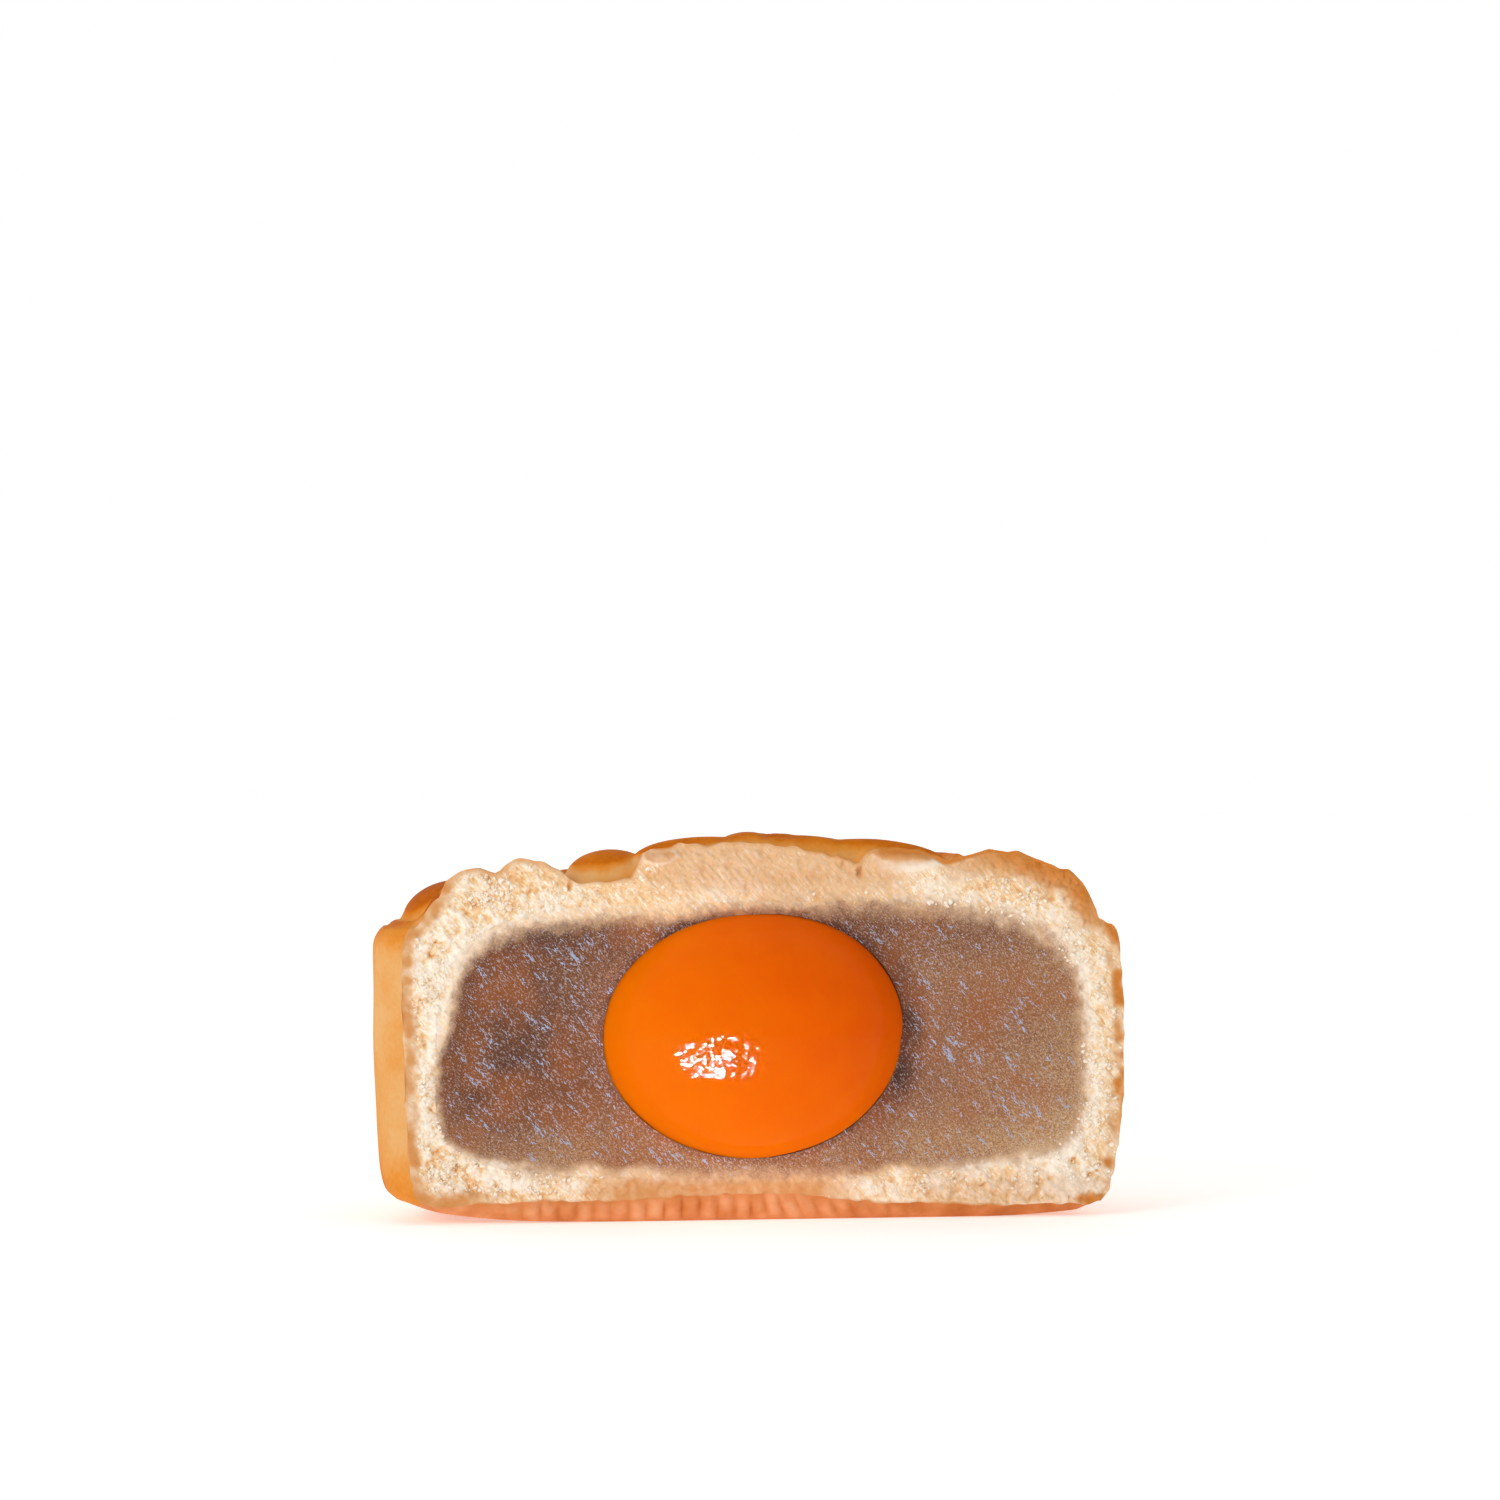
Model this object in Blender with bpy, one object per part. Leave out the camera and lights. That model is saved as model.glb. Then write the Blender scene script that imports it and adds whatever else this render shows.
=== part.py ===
"""A mooncake cut in half: the baked crust with its moulded top, the bird's nest paste inside and a whole yolk.

Lengths are written in millimetres and turned into metres when the meshes are made.
The cake's axis is Z, the base rests on z = 0, and the cut looks towards -Y.
"""

import math

import bmesh
import bpy
import numpy as np

MM = 0.001

# The scalloped outline: a ring of round lobes, cut at a waist on the left and across a lobe on the right.
LOBES = 18
LOBES_KEPT = 9.5
CAKE_X = -0.75
CAKE_RADIUS = 37.6
LOBE_RADIUS = 8.3
LOBE_CENTRE = CAKE_RADIUS - LOBE_RADIUS
PITCH = 2.0 * math.pi / LOBES
CUT_ANGLE = (LOBES_KEPT * PITCH - math.pi) / 2.0
VALLEY_RADIUS = LOBE_CENTRE * math.cos(PITCH / 2.0) + math.sqrt(
    LOBE_RADIUS**2 - (LOBE_CENTRE * math.sin(PITCH / 2.0)) ** 2
)
CUT_Y = -VALLEY_RADIUS * math.sin(CUT_ANGLE)

# The side wall: how far it stands in from the outline, at each height.
WALL = (
    (0.9, 2.3),
    (2.0, 1.3),
    (3.4, 1.0),
    (5.2, 0.75),
    (11.5, 0.3),
    (20.0, 0.1),
    (27.0, 0.0),
    (28.1, 0.18),
    (28.9, 0.6),
    (29.8, 1.5),
    (42.0, 1.5),
)
WALL_STEPS = 7

# The underside: flat in the middle, and lifting a little towards the edge and to the left.
BASE_RINGS = (12.0, 22.0, 27.5, 31.5)
BASE_FLAT = 22.0
BASE_LIFT = 1.0
BASE_TILT_FROM = -12.0
BASE_TILT = 0.8

# The ledge round the moulded top, with one raised arc on each lobe.
LEDGE_Z = 29.3
ARC_INSET = 2.5
ARC_HALF = 0.95
ARC_RISE = 0.6

# The moulded top: a low dome that carries a scale band, three scrolls and a flower.
BODY_RADIUS = 33.2
BODY_SLOPE = 1.5
DOME_X = 6.0
DOME_EDGE_Z = 33.0
DOME_RISE = 5.9
DOME_RADIUS = 31.5
DOME_POWER = 2.2
BAND_INNER = 20.3
BAND_OUTER = 32.1
BORDER_HALF = 1.05
BAND_SINK = 1.1
SCALE_WIDTH = 5.3
SCALE_PITCH = 4.3
SCALE_RADIUS = 3.65
SCALE_RISE = 1.5
SCALE_EDGE = 0.6
SCROLLS = ((161.0, 27.4, 6.0, 1), (112.0, 24.9, 8.9, -1), (66.0, 26.9, 6.7, 1))
SCROLL_LIFT = 0.5
SCROLL_PITCH = 2.5
SCROLL_RISE = 0.75
FLOWER_X = -1.6
FLOWER_Y = -0.4
MOAT_SINK = 2.8
PETALS = ((9, 17.2, 0.3, -0.6), (7, 12.2, 0.05, -0.25), (5, 7.4, 0.2, 0.1))
BUTTON_RADIUS = 2.5
WAVES = 18
WAVE_RADIUS = 17.6
WAVE_SWING = 0.7
WAVE_HALF = 0.8
WAVE_RISE = 1.2
SOFTEN = 0.3

# Puffs that stand free of the pattern: x, y, half length, half width, top and rise.
PUFFS = ((-14.6, 1.2, 4.6, 3.6, 36.9, 3.0), (-29.9, 2.6, 5.8, 4.9, 33.5, 4.2))

# The top edge of the cut, from left to right: x and height. Beyond its ends the ledge takes over.
CUT_EDGE = (
    (-32.4, 31.0),
    (-31.8, 33.8),
    (-30.8, 34.7),
    (-29.2, 35.1),
    (-27.2, 34.9),
    (-26.4, 34.5),
    (-25.8, 35.5),
    (-24.5, 36.2),
    (-22.8, 35.9),
    (-21.0, 35.4),
    (-19.5, 34.3),
    (-18.3, 33.6),
    (-15.5, 33.9),
    (-12.9, 34.3),
    (-12.3, 36.3),
    (-11.2, 37.1),
    (-8.4, 37.7),
    (-5.2, 38.2),
    (-1.5, 38.3),
    (3.3, 37.7),
    (5.2, 36.6),
    (7.8, 36.2),
    (9.6, 35.4),
    (10.3, 36.0),
    (11.4, 37.0),
    (13.5, 37.1),
    (16.3, 36.7),
    (18.6, 35.8),
    (19.4, 35.8),
    (21.0, 36.4),
    (22.8, 36.9),
    (26.2, 36.7),
    (27.4, 36.1),
    (29.0, 35.4),
    (31.5, 34.7),
    (32.9, 33.3),
    (33.8, 31.6),
    (34.3, 30.2),
)
SECTION_BLEND = 2.4

TOP_STEP = 0.78
TOP_REACH = 39.2

# The paste: a turned form, rounder at its top corners than at its bottom ones.
PASTE_RADIUS = 32.6
PASTE_MIDDLE = 14.0
PASTE_UP = 17.7
PASTE_DOWN = 9.7
PASTE_TOP_POWER = 4.2
PASTE_BASE_POWER = 4.0
PASTE_TURNS = 52
PASTE_RINGS = 8

# The yolk stands out of the cut.
YOLK_CENTRE = (-0.9, CUT_Y + 2.0, 18.3)
YOLK_AXES = (15.25, 11.0, 12.3)
YOLK_TURNS = 32
YOLK_RINGS = 18

GAP = 0.3


def ramp(value, start, end):
    t = np.clip((value - start) / (end - start), 0.0, 1.0)
    return t * t * (3.0 - 2.0 * t)


def ridge(distance, half_width):
    return np.clip(1.0 - (distance / half_width) ** 2, 0.0, 1.0)


def direction(x, y):
    """The angle round the axis, with its jump on the half that is cut away."""
    return np.mod(np.arctan2(y, x) + 0.5 * math.pi, 2.0 * math.pi) - 0.5 * math.pi


def lobe_angle(angle):
    return np.mod(angle - math.pi - CUT_ANGLE, PITCH) - PITCH / 2.0


def outline_radius(angle):
    a = lobe_angle(angle)
    return LOBE_CENTRE * np.cos(a) + np.sqrt(LOBE_RADIUS**2 - (LOBE_CENTRE * np.sin(a)) ** 2)


def scales(along, across):
    """Overlapping scales: each shows its round front edge over the next one."""
    best = np.zeros_like(along)
    first = np.floor(along / SCALE_PITCH)
    for step in (-1, 0, 1):
        row = first + step
        shift = 0.5 * SCALE_WIDTH * np.mod(row, 2.0)
        column = np.round((across - shift) / SCALE_WIDTH)
        aside = across - shift - column * SCALE_WIDTH
        ahead = along - row * SCALE_PITCH
        reach = np.hypot(ahead, aside)
        tile = SCALE_RISE * (0.5 + 0.5 * ahead / SCALE_RADIUS)
        best = np.maximum(best, tile * ramp(reach, SCALE_RADIUS, SCALE_RADIUS - SCALE_EDGE))
    return best


def flower(x, y):
    """Three rings of full petals round a button, over a moat with a wavy line in it."""
    r, angle = np.hypot(x, y), direction(x, y)
    wave = r - WAVE_RADIUS - WAVE_SWING * np.sin(WAVES * angle)
    height = WAVE_RISE * ridge(wave, WAVE_HALF) ** 0.7 - MOAT_SINK
    east, north = x - FLOWER_X, y - FLOWER_Y
    rho, phi = np.hypot(east, north), np.arctan2(north, east)
    for count, reach, turn, top in PETALS:
        part = (phi - turn) * count / (2.0 * math.pi)
        aside = 2.0 * np.abs(part - np.round(part))
        tip = reach * (1.0 - 0.2 * aside**2)
        along = np.clip(rho / tip, 0.0, 1.0)
        across = np.sqrt(np.clip(1.0 - aside**2, 0.0, 1.0))
        leaf = (top + MOAT_SINK) * np.sqrt(1.0 - along**5) * (0.15 + 0.85 * across)
        vein = 0.4 * ridge(aside * rho * math.pi / count, 0.5) * ridge(along - 0.6, 0.3)
        height = np.maximum(height, leaf - vein - MOAT_SINK)
    button = 1.0 * np.sqrt(ridge(rho, BUTTON_RADIUS)) - 0.7
    return np.maximum(height, np.where(rho < BUTTON_RADIUS, button, -MOAT_SINK))


def motif(x, y):
    r, angle = np.hypot(x, y), direction(x, y)
    dome = DOME_EDGE_Z + DOME_RISE * ridge(np.hypot(x - DOME_X, y), DOME_RADIUS) ** DOME_POWER
    middle = 0.5 * (BAND_INNER + BAND_OUTER)
    in_band = ramp(r, BAND_INNER, BAND_INNER + 0.5)
    band = scales(angle * middle, r - BAND_INNER) - BAND_SINK
    relief = flower(x, y) * (1.0 - in_band) + band * in_band
    for line in (BAND_INNER, BAND_OUTER - BORDER_HALF):
        relief = np.maximum(relief, 1.8 * ridge(r - line, BORDER_HALF + 0.3) ** 0.6 - 1.6)
    edge = r - BODY_RADIUS
    for degrees, centre, radius, hand in SCROLLS:
        turn = math.radians(degrees)
        east, north = x - centre * math.cos(turn), y - centre * math.sin(turn)
        rho, phi = np.hypot(east, north), np.arctan2(north, east)
        winding = 2.0 * math.pi * rho / SCROLL_PITCH - hand * phi
        arm = SCROLL_RISE * (0.5 + 0.5 * np.cos(winding)) * ramp(rho, radius - 1.4, radius - 2.2)
        border = 0.85 * ridge(rho - radius + 1.2, 1.2) ** 0.7
        face = SCROLL_LIFT - 0.75 + np.maximum(arm, border)
        cover = ramp(rho, radius, radius - 0.9)
        relief = relief * (1.0 - cover) + face * cover
        edge = np.minimum(edge, rho - radius)
    body = ramp(edge, BODY_SLOPE, -BODY_SLOPE)
    reach, a = np.hypot(x - CAKE_X, y), lobe_angle(direction(x - CAKE_X, y))
    from_lobe = np.sqrt(reach**2 + LOBE_CENTRE**2 - 2.0 * reach * LOBE_CENTRE * np.cos(a))
    arcs = ARC_RISE * ridge(from_lobe - LOBE_RADIUS + ARC_INSET, ARC_HALF) ** 0.7
    ledge = LEDGE_Z + arcs * (reach > LOBE_CENTRE)
    height = ledge + (dome + relief - ledge) * body
    for east, north, half_x, half_y, top, rise in PUFFS:
        puff = ridge(np.hypot((x - east) / half_x, (y - north) / half_y), 1.0) ** 0.5
        height = np.maximum(height, (top - rise + rise * puff) * (puff > 0.0))
    return height


def softened(x, y):
    """The motif with its edges softened, as dough leaves them."""
    total = 2.0 * motif(x, y)
    for k in range(6):
        turn = k * math.pi / 3.0
        total = total + motif(x + SOFTEN * math.cos(turn), y + SOFTEN * math.sin(turn))
    return total / 8.0


def section_edge(x):
    """The height of the cut's top edge, or zero where the ledge takes over."""
    places, heights = zip(*CUT_EDGE)
    return np.interp(x, places, heights, left=0.0, right=0.0)


def top_height(x, y):
    cut = section_edge(x)
    near = ramp(y - CUT_Y, SECTION_BLEND, 0.0) * (cut > 0.0)
    return softened(x, y) * (1.0 - near) + cut * near


def base_height(x, y):
    lift = BASE_LIFT * (np.maximum(0.0, np.hypot(x, y) - BASE_FLAT) / 14.0) ** 2
    return lift + BASE_TILT * (np.maximum(0.0, BASE_TILT_FROM - x) / 24.0) ** 2


def solid(name, points, faces):
    """A closed mesh object from points in millimetres, with its faces turned outwards."""
    mesh = bpy.data.meshes.new(name)
    mesh.from_pydata((np.array(points) * MM).tolist(), [], faces)
    shape = bmesh.new()
    shape.from_mesh(mesh)
    bmesh.ops.recalc_face_normals(shape, faces=shape.faces)
    shape.to_mesh(mesh)
    shape.free()
    obj = bpy.data.objects.new(name, mesh)
    bpy.context.collection.objects.link(obj)
    return obj


def lofted(name, rings):
    """A closed mesh through rings of equal length, capped at both ends."""
    count = len(rings[0])
    points = [point for ring in rings for point in ring]
    faces = [list(range(count)), list(range(len(points) - count, len(points)))]
    for level in range(len(rings) - 1):
        for k in range(count):
            a, b = level * count + k, level * count + (k + 1) % count
            faces.append((a, b, b + count, a + count))
    return solid(name, points, faces)


def height_block(name):
    """A block whose upper face carries the moulded top and whose front is the cut."""
    xs = np.arange(-TOP_REACH, TOP_REACH + 0.01, TOP_STEP)
    ys = np.arange(CUT_Y, TOP_REACH + TOP_STEP, TOP_STEP)
    x, y = np.meshgrid(xs, ys)
    z = top_height(x, y)
    rows, columns = z.shape
    floor = rows * columns
    points = np.column_stack((x.ravel(), y.ravel(), z.ravel())).tolist()
    rim = [(0, i) for i in range(columns)]
    rim += [(j, columns - 1) for j in range(1, rows)]
    rim += [(rows - 1, i) for i in range(columns - 2, -1, -1)]
    rim += [(j, 0) for j in range(rows - 2, 0, -1)]
    points += [(xs[i], ys[j], -5.0) for j, i in rim]
    faces = []
    for j in range(rows - 1):
        for i in range(columns - 1):
            a, b = j * columns + i, j * columns + i + 1
            c, d = b + columns, a + columns
            if abs(z[j, i] - z[j + 1, i + 1]) < abs(z[j, i + 1] - z[j + 1, i]):
                faces += [(a, b, c), (a, c, d)]
            else:
                faces += [(a, b, d), (b, c, d)]
    for k, (j, i) in enumerate(rim):
        after = (k + 1) % len(rim)
        j2, i2 = rim[after]
        faces.append((j * columns + i, j2 * columns + i2, floor + after, floor + k))
    faces.append(list(range(floor, floor + len(rim))))
    return solid(name, points, faces)


def wall_prism(name):
    """The whole scalloped wall with its underside, taller than the cake."""
    angles = np.arange(LOBES * WALL_STEPS) * PITCH / WALL_STEPS + CUT_ANGLE + math.pi
    outline = outline_radius(angles)
    rings = []
    for radius in BASE_RINGS:
        x, y = CAKE_X + radius * np.cos(angles), radius * np.sin(angles)
        rings.append(np.column_stack((x, y, base_height(x, y))).tolist())
    for level, inset in WALL:
        x, y = CAKE_X + (outline - inset) * np.cos(angles), (outline - inset) * np.sin(angles)
        lift = base_height(x, y) * math.exp(-level / 3.0)
        rings.append(np.column_stack((x, y, level + lift)).tolist())
    return lofted(name, rings)


def paste_profile(grow):
    """Radius and height down the turned form, grown outwards by a margin."""
    turns = np.linspace(0.0, 0.5 * math.pi, PASTE_RINGS + 1)[1:]
    profile = []
    for power, reach in ((PASTE_TOP_POWER, PASTE_UP + grow), (PASTE_BASE_POWER, -PASTE_DOWN - grow)):
        half = []
        for turn in turns:
            radius = (PASTE_RADIUS + grow) * math.sin(turn) ** (2.0 / power)
            height = reach * max(0.0, math.cos(turn)) ** (2.0 / power)
            half.append((radius, PASTE_MIDDLE + height))
        profile += half if reach > 0.0 else half[-2::-1]
    return profile


def paste_form(name, grow):
    turns = np.arange(PASTE_TURNS) * 2.0 * math.pi / PASTE_TURNS
    rings = [
        np.column_stack(
            (radius * np.cos(turns), radius * np.sin(turns), np.full(PASTE_TURNS, height))
        ).tolist()
        for radius, height in paste_profile(grow)
    ]
    return lofted(name, rings)


def ellipsoid(name, grow):
    ax, ay, az = (axis + grow for axis in YOLK_AXES)
    cx, cy, cz = YOLK_CENTRE
    turns = np.arange(YOLK_TURNS) * 2.0 * math.pi / YOLK_TURNS
    points = [(cx, cy - ay, cz)]
    for ring in range(1, YOLK_RINGS):
        polar = math.pi * ring / YOLK_RINGS
        points += [
            (
                cx + ax * math.sin(polar) * math.cos(turn),
                cy - ay * math.cos(polar),
                cz + az * math.sin(polar) * math.sin(turn),
            )
            for turn in turns
        ]
    points.append((cx, cy + ay, cz))
    faces = []
    last = len(points) - 1
    for k in range(YOLK_TURNS):
        after = (k + 1) % YOLK_TURNS
        faces.append((0, 1 + k, 1 + after))
        for ring in range(YOLK_RINGS - 2):
            a = 1 + ring * YOLK_TURNS
            faces.append((a + k, a + YOLK_TURNS + k, a + YOLK_TURNS + after, a + after))
        a = 1 + (YOLK_RINGS - 2) * YOLK_TURNS
        faces.append((a + k, last, a + after))
    return solid(name, points, faces)


def front_box(name):
    """Everything in front of the cut."""
    far = 60.0
    ring = [(-far, -far), (far, -far), (far, CUT_Y), (-far, CUT_Y)]
    return lofted(name, [[(x, y, z) for x, y in ring] for z in (-10.0, far)])


def foot_wedge(name):
    """Takes the sharp corner off the foot of the cut, more at the left end."""
    rings = []
    for x, height in ((-45.0, 2.3), (45.0, 0.9)):
        rise = height / 1.2
        front = (x, CUT_Y - 0.6, height + 0.6 * rise)
        rings.append([front, (x, CUT_Y + 2.4, -1.2 * rise), (x, CUT_Y - 0.6, -6.0)])
    return lofted(name, rings)


def combine(obj, other, operation):
    """Applies a Boolean and removes the second mesh."""
    modifier = obj.modifiers.new("Boolean", "BOOLEAN")
    modifier.operation = operation
    modifier.solver = "EXACT"
    modifier.object = other
    graph = bpy.context.evaluated_depsgraph_get()
    made = bpy.data.meshes.new_from_object(obj.evaluated_get(graph))
    obj.modifiers.remove(modifier)
    obj.data = made
    bpy.data.objects.remove(other)


def coloured(obj, red, green, blue, roughness):
    material = bpy.data.materials.new(obj.name)
    material.use_nodes = True
    shader = material.node_tree.nodes["Principled BSDF"]
    shader.inputs["Base Color"].default_value = (red, green, blue, 1.0)
    shader.inputs["Roughness"].default_value = roughness
    obj.data.materials.clear()
    obj.data.materials.append(material)


for old in list(bpy.data.objects):
    bpy.data.objects.remove(old)

crust = height_block("crust")
combine(crust, wall_prism("wall"), "INTERSECT")
combine(crust, paste_form("cavity", 0.0), "DIFFERENCE")
combine(crust, foot_wedge("foot"), "DIFFERENCE")

filling = paste_form("filling", -GAP)
combine(filling, front_box("front"), "DIFFERENCE")
combine(filling, ellipsoid("socket", GAP), "DIFFERENCE")

yolk = ellipsoid("yolk", 0.0)

coloured(crust, 0.62, 0.30, 0.09, 0.45)
coloured(filling, 0.23, 0.13, 0.075, 0.35)
coloured(yolk, 0.85, 0.16, 0.004, 0.2)
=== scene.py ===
# %% [markdown]
# # A mooncake cut in half
# A mooncake is a small baked cake: a thin shortcrust skin, pressed in a carved mould, round a dense
# sweet paste. This one is cut down its middle, so the crumb, the bird's nest paste and a whole
# salted yolk show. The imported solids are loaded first. They give the size and place of every piece
# that is made below.

# %% Load the frame
import math

import bmesh
import bpy
import numpy as np
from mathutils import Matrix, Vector
from mathutils.geometry import delaunay_2d_cdt


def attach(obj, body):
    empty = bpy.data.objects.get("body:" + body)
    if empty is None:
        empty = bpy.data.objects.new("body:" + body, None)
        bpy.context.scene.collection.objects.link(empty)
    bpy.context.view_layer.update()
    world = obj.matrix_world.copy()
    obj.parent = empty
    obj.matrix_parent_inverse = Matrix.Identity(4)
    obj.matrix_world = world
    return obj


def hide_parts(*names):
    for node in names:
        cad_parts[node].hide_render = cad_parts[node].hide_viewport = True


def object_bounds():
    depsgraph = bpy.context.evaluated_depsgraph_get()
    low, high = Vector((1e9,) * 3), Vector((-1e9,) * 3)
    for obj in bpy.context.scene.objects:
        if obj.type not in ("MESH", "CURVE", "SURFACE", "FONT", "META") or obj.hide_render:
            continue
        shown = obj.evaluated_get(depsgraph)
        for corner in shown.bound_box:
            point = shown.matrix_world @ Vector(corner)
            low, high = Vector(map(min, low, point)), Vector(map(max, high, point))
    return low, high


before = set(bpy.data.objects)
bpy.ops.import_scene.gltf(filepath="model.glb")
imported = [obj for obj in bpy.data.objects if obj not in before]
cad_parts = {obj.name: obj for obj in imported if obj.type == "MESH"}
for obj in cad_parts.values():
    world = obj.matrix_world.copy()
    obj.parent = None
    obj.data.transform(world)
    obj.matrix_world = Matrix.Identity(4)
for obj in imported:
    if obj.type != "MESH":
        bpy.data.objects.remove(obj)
cad_low, cad_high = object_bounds()
print("frame:", [round(1000 * (b - a), 1) for a, b in zip(cad_low, cad_high)], "mm")

# %% [markdown]
# ## The cake's own measures
# The values are millimetres, as a baker would measure the cake. One factor turns them into metres
# at the end. The outline is a ring of 18 round lobes, from one formula, so that every lobe is
# alike. The cut runs through a waist on the left and across a lobe on the right.

# %% Outline and cut
MM = 0.001
LOBES = 18
LOBES_KEPT = 9.5
CAKE_X = -0.75
CAKE_RADIUS = 37.6
LOBE_RADIUS = 8.3
LOBE_CENTRE = CAKE_RADIUS - LOBE_RADIUS
PITCH = 2.0 * math.pi / LOBES
CUT_ANGLE = (LOBES_KEPT * PITCH - math.pi) / 2.0
VALLEY_RADIUS = LOBE_CENTRE * math.cos(PITCH / 2.0) + math.sqrt(
    LOBE_RADIUS**2 - (LOBE_CENTRE * math.sin(PITCH / 2.0)) ** 2
)
CUT_Y = -VALLEY_RADIUS * math.sin(CUT_ANGLE)


def ramp(value, start, end):
    """A smooth step from 0 at start to 1 at end."""
    t = np.clip((value - start) / (end - start), 0.0, 1.0)
    return t * t * (3.0 - 2.0 * t)


def ridge(distance, half_width):
    """1 at distance 0, falling in a round arch to 0 at half_width."""
    return np.clip(1.0 - (distance / half_width) ** 2, 0.0, 1.0)


def direction(x, y):
    """The angle round the axis, with its jump on the half that is cut away."""
    return np.mod(np.arctan2(y, x) + 0.5 * math.pi, 2.0 * math.pi) - 0.5 * math.pi


def lobe_angle(angle):
    """The angle from the middle of the lobe that it falls in."""
    return np.mod(angle - math.pi - CUT_ANGLE, PITCH) - PITCH / 2.0


def outline_radius(angle):
    """How far the scalloped outline lies from the axis."""
    a = lobe_angle(angle)
    return LOBE_CENTRE * np.cos(a) + np.sqrt(LOBE_RADIUS**2 - (LOBE_CENTRE * np.sin(a)) ** 2)


print("cut", round(-CUT_Y, 2), "mm in front of the axis")

# %% [markdown]
# ## The moulded top
# The carved mould presses a pattern into the dough: scales between two raised borders, scrolls and
# a flower. It could be sculpted by hand. Here each motif is a height in millimetres over a low
# dome, worked out for whole arrays of points at once, so a size can be changed and every repeat of
# the motif follows. Where two motifs meet, the higher one wins, and averaging over a small ring
# softens every edge as dough does. Smooth puffs, the parts of motifs that the knife has just
# missed, swell up behind the cut.

# %% Heights of the moulded top
LEDGE_Z = 29.3
ARC_INSET = 2.5
ARC_HALF = 0.95
ARC_RISE = 0.6
BODY_RADIUS = 33.2
BODY_SLOPE = 1.5
DOME_X = 4.0
DOME_EDGE_Z = 33.0
DOME_RISE = 6.2
DOME_STEEPER = 1.12
DOME_RADIUS = 31.5
DOME_POWER = 1.6
BAND_INNER = 20.3
BAND_OUTER = 32.1
BORDER_HALF = 1.05
BORDER_RISE = 0.2
BAND_SINK = 1.1
SCALE_WIDTH = 5.3
SCALE_PITCH = 4.3
SCALE_RADIUS = 3.65
SCALE_RISE = 1.5
SCALE_EDGE = 0.6
# Each scroll: direction in degrees, distance from the axis, radius, and the way that it winds.
SCROLLS = ((161.0, 27.4, 6.0, 1), (112.0, 24.9, 8.9, -1), (66.0, 26.9, 6.7, 1))
SCROLL_LIFT = 0.5
SCROLL_PITCH = 2.5
SCROLL_RISE = 0.75
SCROLL_RIM = 1.2
SCROLL_RIM_RISE = 0.85
FLOWER_X = -1.6
FLOWER_Y = -0.4
MOAT_SINK = 2.8
# Each ring of petals: how many, how far they reach, turn in radians, and their top over the dome.
PETALS = ((9, 17.2, 0.3, -1.1), (7, 12.2, 0.05, -0.8), (5, 7.4, 0.2, -0.6))
VEIN_DEPTH, VEIN_HALF = 0.4, 0.5
BUTTON_RADIUS = 2.5
BUTTON_RISE, BUTTON_SINK = 0.9, 1.2
WAVES = 18
WAVE_RADIUS = 17.6
WAVE_SWING = 0.7
WAVE_HALF = 0.8
WAVE_RISE = 1.2
SOFTEN = 0.3
# Each puff: x and y of its middle, its two half lengths, its top and its rise.
PUFFS = (
    (-14.6, 1.2, 4.6, 3.6, 36.9, 3.0),
    (-29.6, 2.6, 5.8, 4.9, 33.9, 4.4),
    (-4.9, -0.7, 8.0, 2.1, 38.2, 2.6),
    (10.2, -0.7, 9.5, 2.1, 37.9, 3.0),
)
PUFF_FLANK = 12.0


def scales(along, across):
    """Overlapping scales: each shows its round front edge over the next one."""
    best = np.zeros_like(along)
    first = np.floor(along / SCALE_PITCH)
    for step in (-1, 0, 1):
        row = first + step
        shift = 0.5 * SCALE_WIDTH * np.mod(row, 2.0)
        column = np.round((across - shift) / SCALE_WIDTH)
        aside = across - shift - column * SCALE_WIDTH
        ahead = along - row * SCALE_PITCH
        reach = np.hypot(ahead, aside)
        tile = SCALE_RISE * (0.5 + 0.5 * ahead / SCALE_RADIUS)
        best = np.maximum(best, tile * ramp(reach, SCALE_RADIUS, SCALE_RADIUS - SCALE_EDGE))
    return best


def flower(x, y):
    """Three rings of full petals round a button, over a moat with a wavy line in it."""
    r, angle = np.hypot(x, y), direction(x, y)
    wave = r - WAVE_RADIUS - WAVE_SWING * np.sin(WAVES * angle)
    height = WAVE_RISE * ridge(wave, WAVE_HALF) ** 0.7 - MOAT_SINK
    east, north = x - FLOWER_X, y - FLOWER_Y
    rho, phi = np.hypot(east, north), np.arctan2(north, east)
    for count, reach, turn, top in PETALS:
        part = (phi - turn) * count / (2.0 * math.pi)
        aside = 2.0 * np.abs(part - np.round(part))
        tip = reach * (1.0 - 0.2 * aside**2)
        along = np.clip(rho / tip, 0.0, 1.0)
        across = np.sqrt(np.clip(1.0 - aside**2, 0.0, 1.0))
        leaf = (top + MOAT_SINK) * np.sqrt(1.0 - along**5) * (0.05 + 0.95 * across)
        vein = VEIN_DEPTH * ridge(aside * rho * math.pi / count, VEIN_HALF)
        vein = vein * ridge(along - 0.6, 0.3)
        height = np.maximum(height, leaf - vein - MOAT_SINK)
    button = BUTTON_RISE * np.sqrt(ridge(rho, BUTTON_RADIUS)) - BUTTON_SINK
    return np.maximum(height, np.where(rho < BUTTON_RADIUS, button, -MOAT_SINK))


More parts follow.
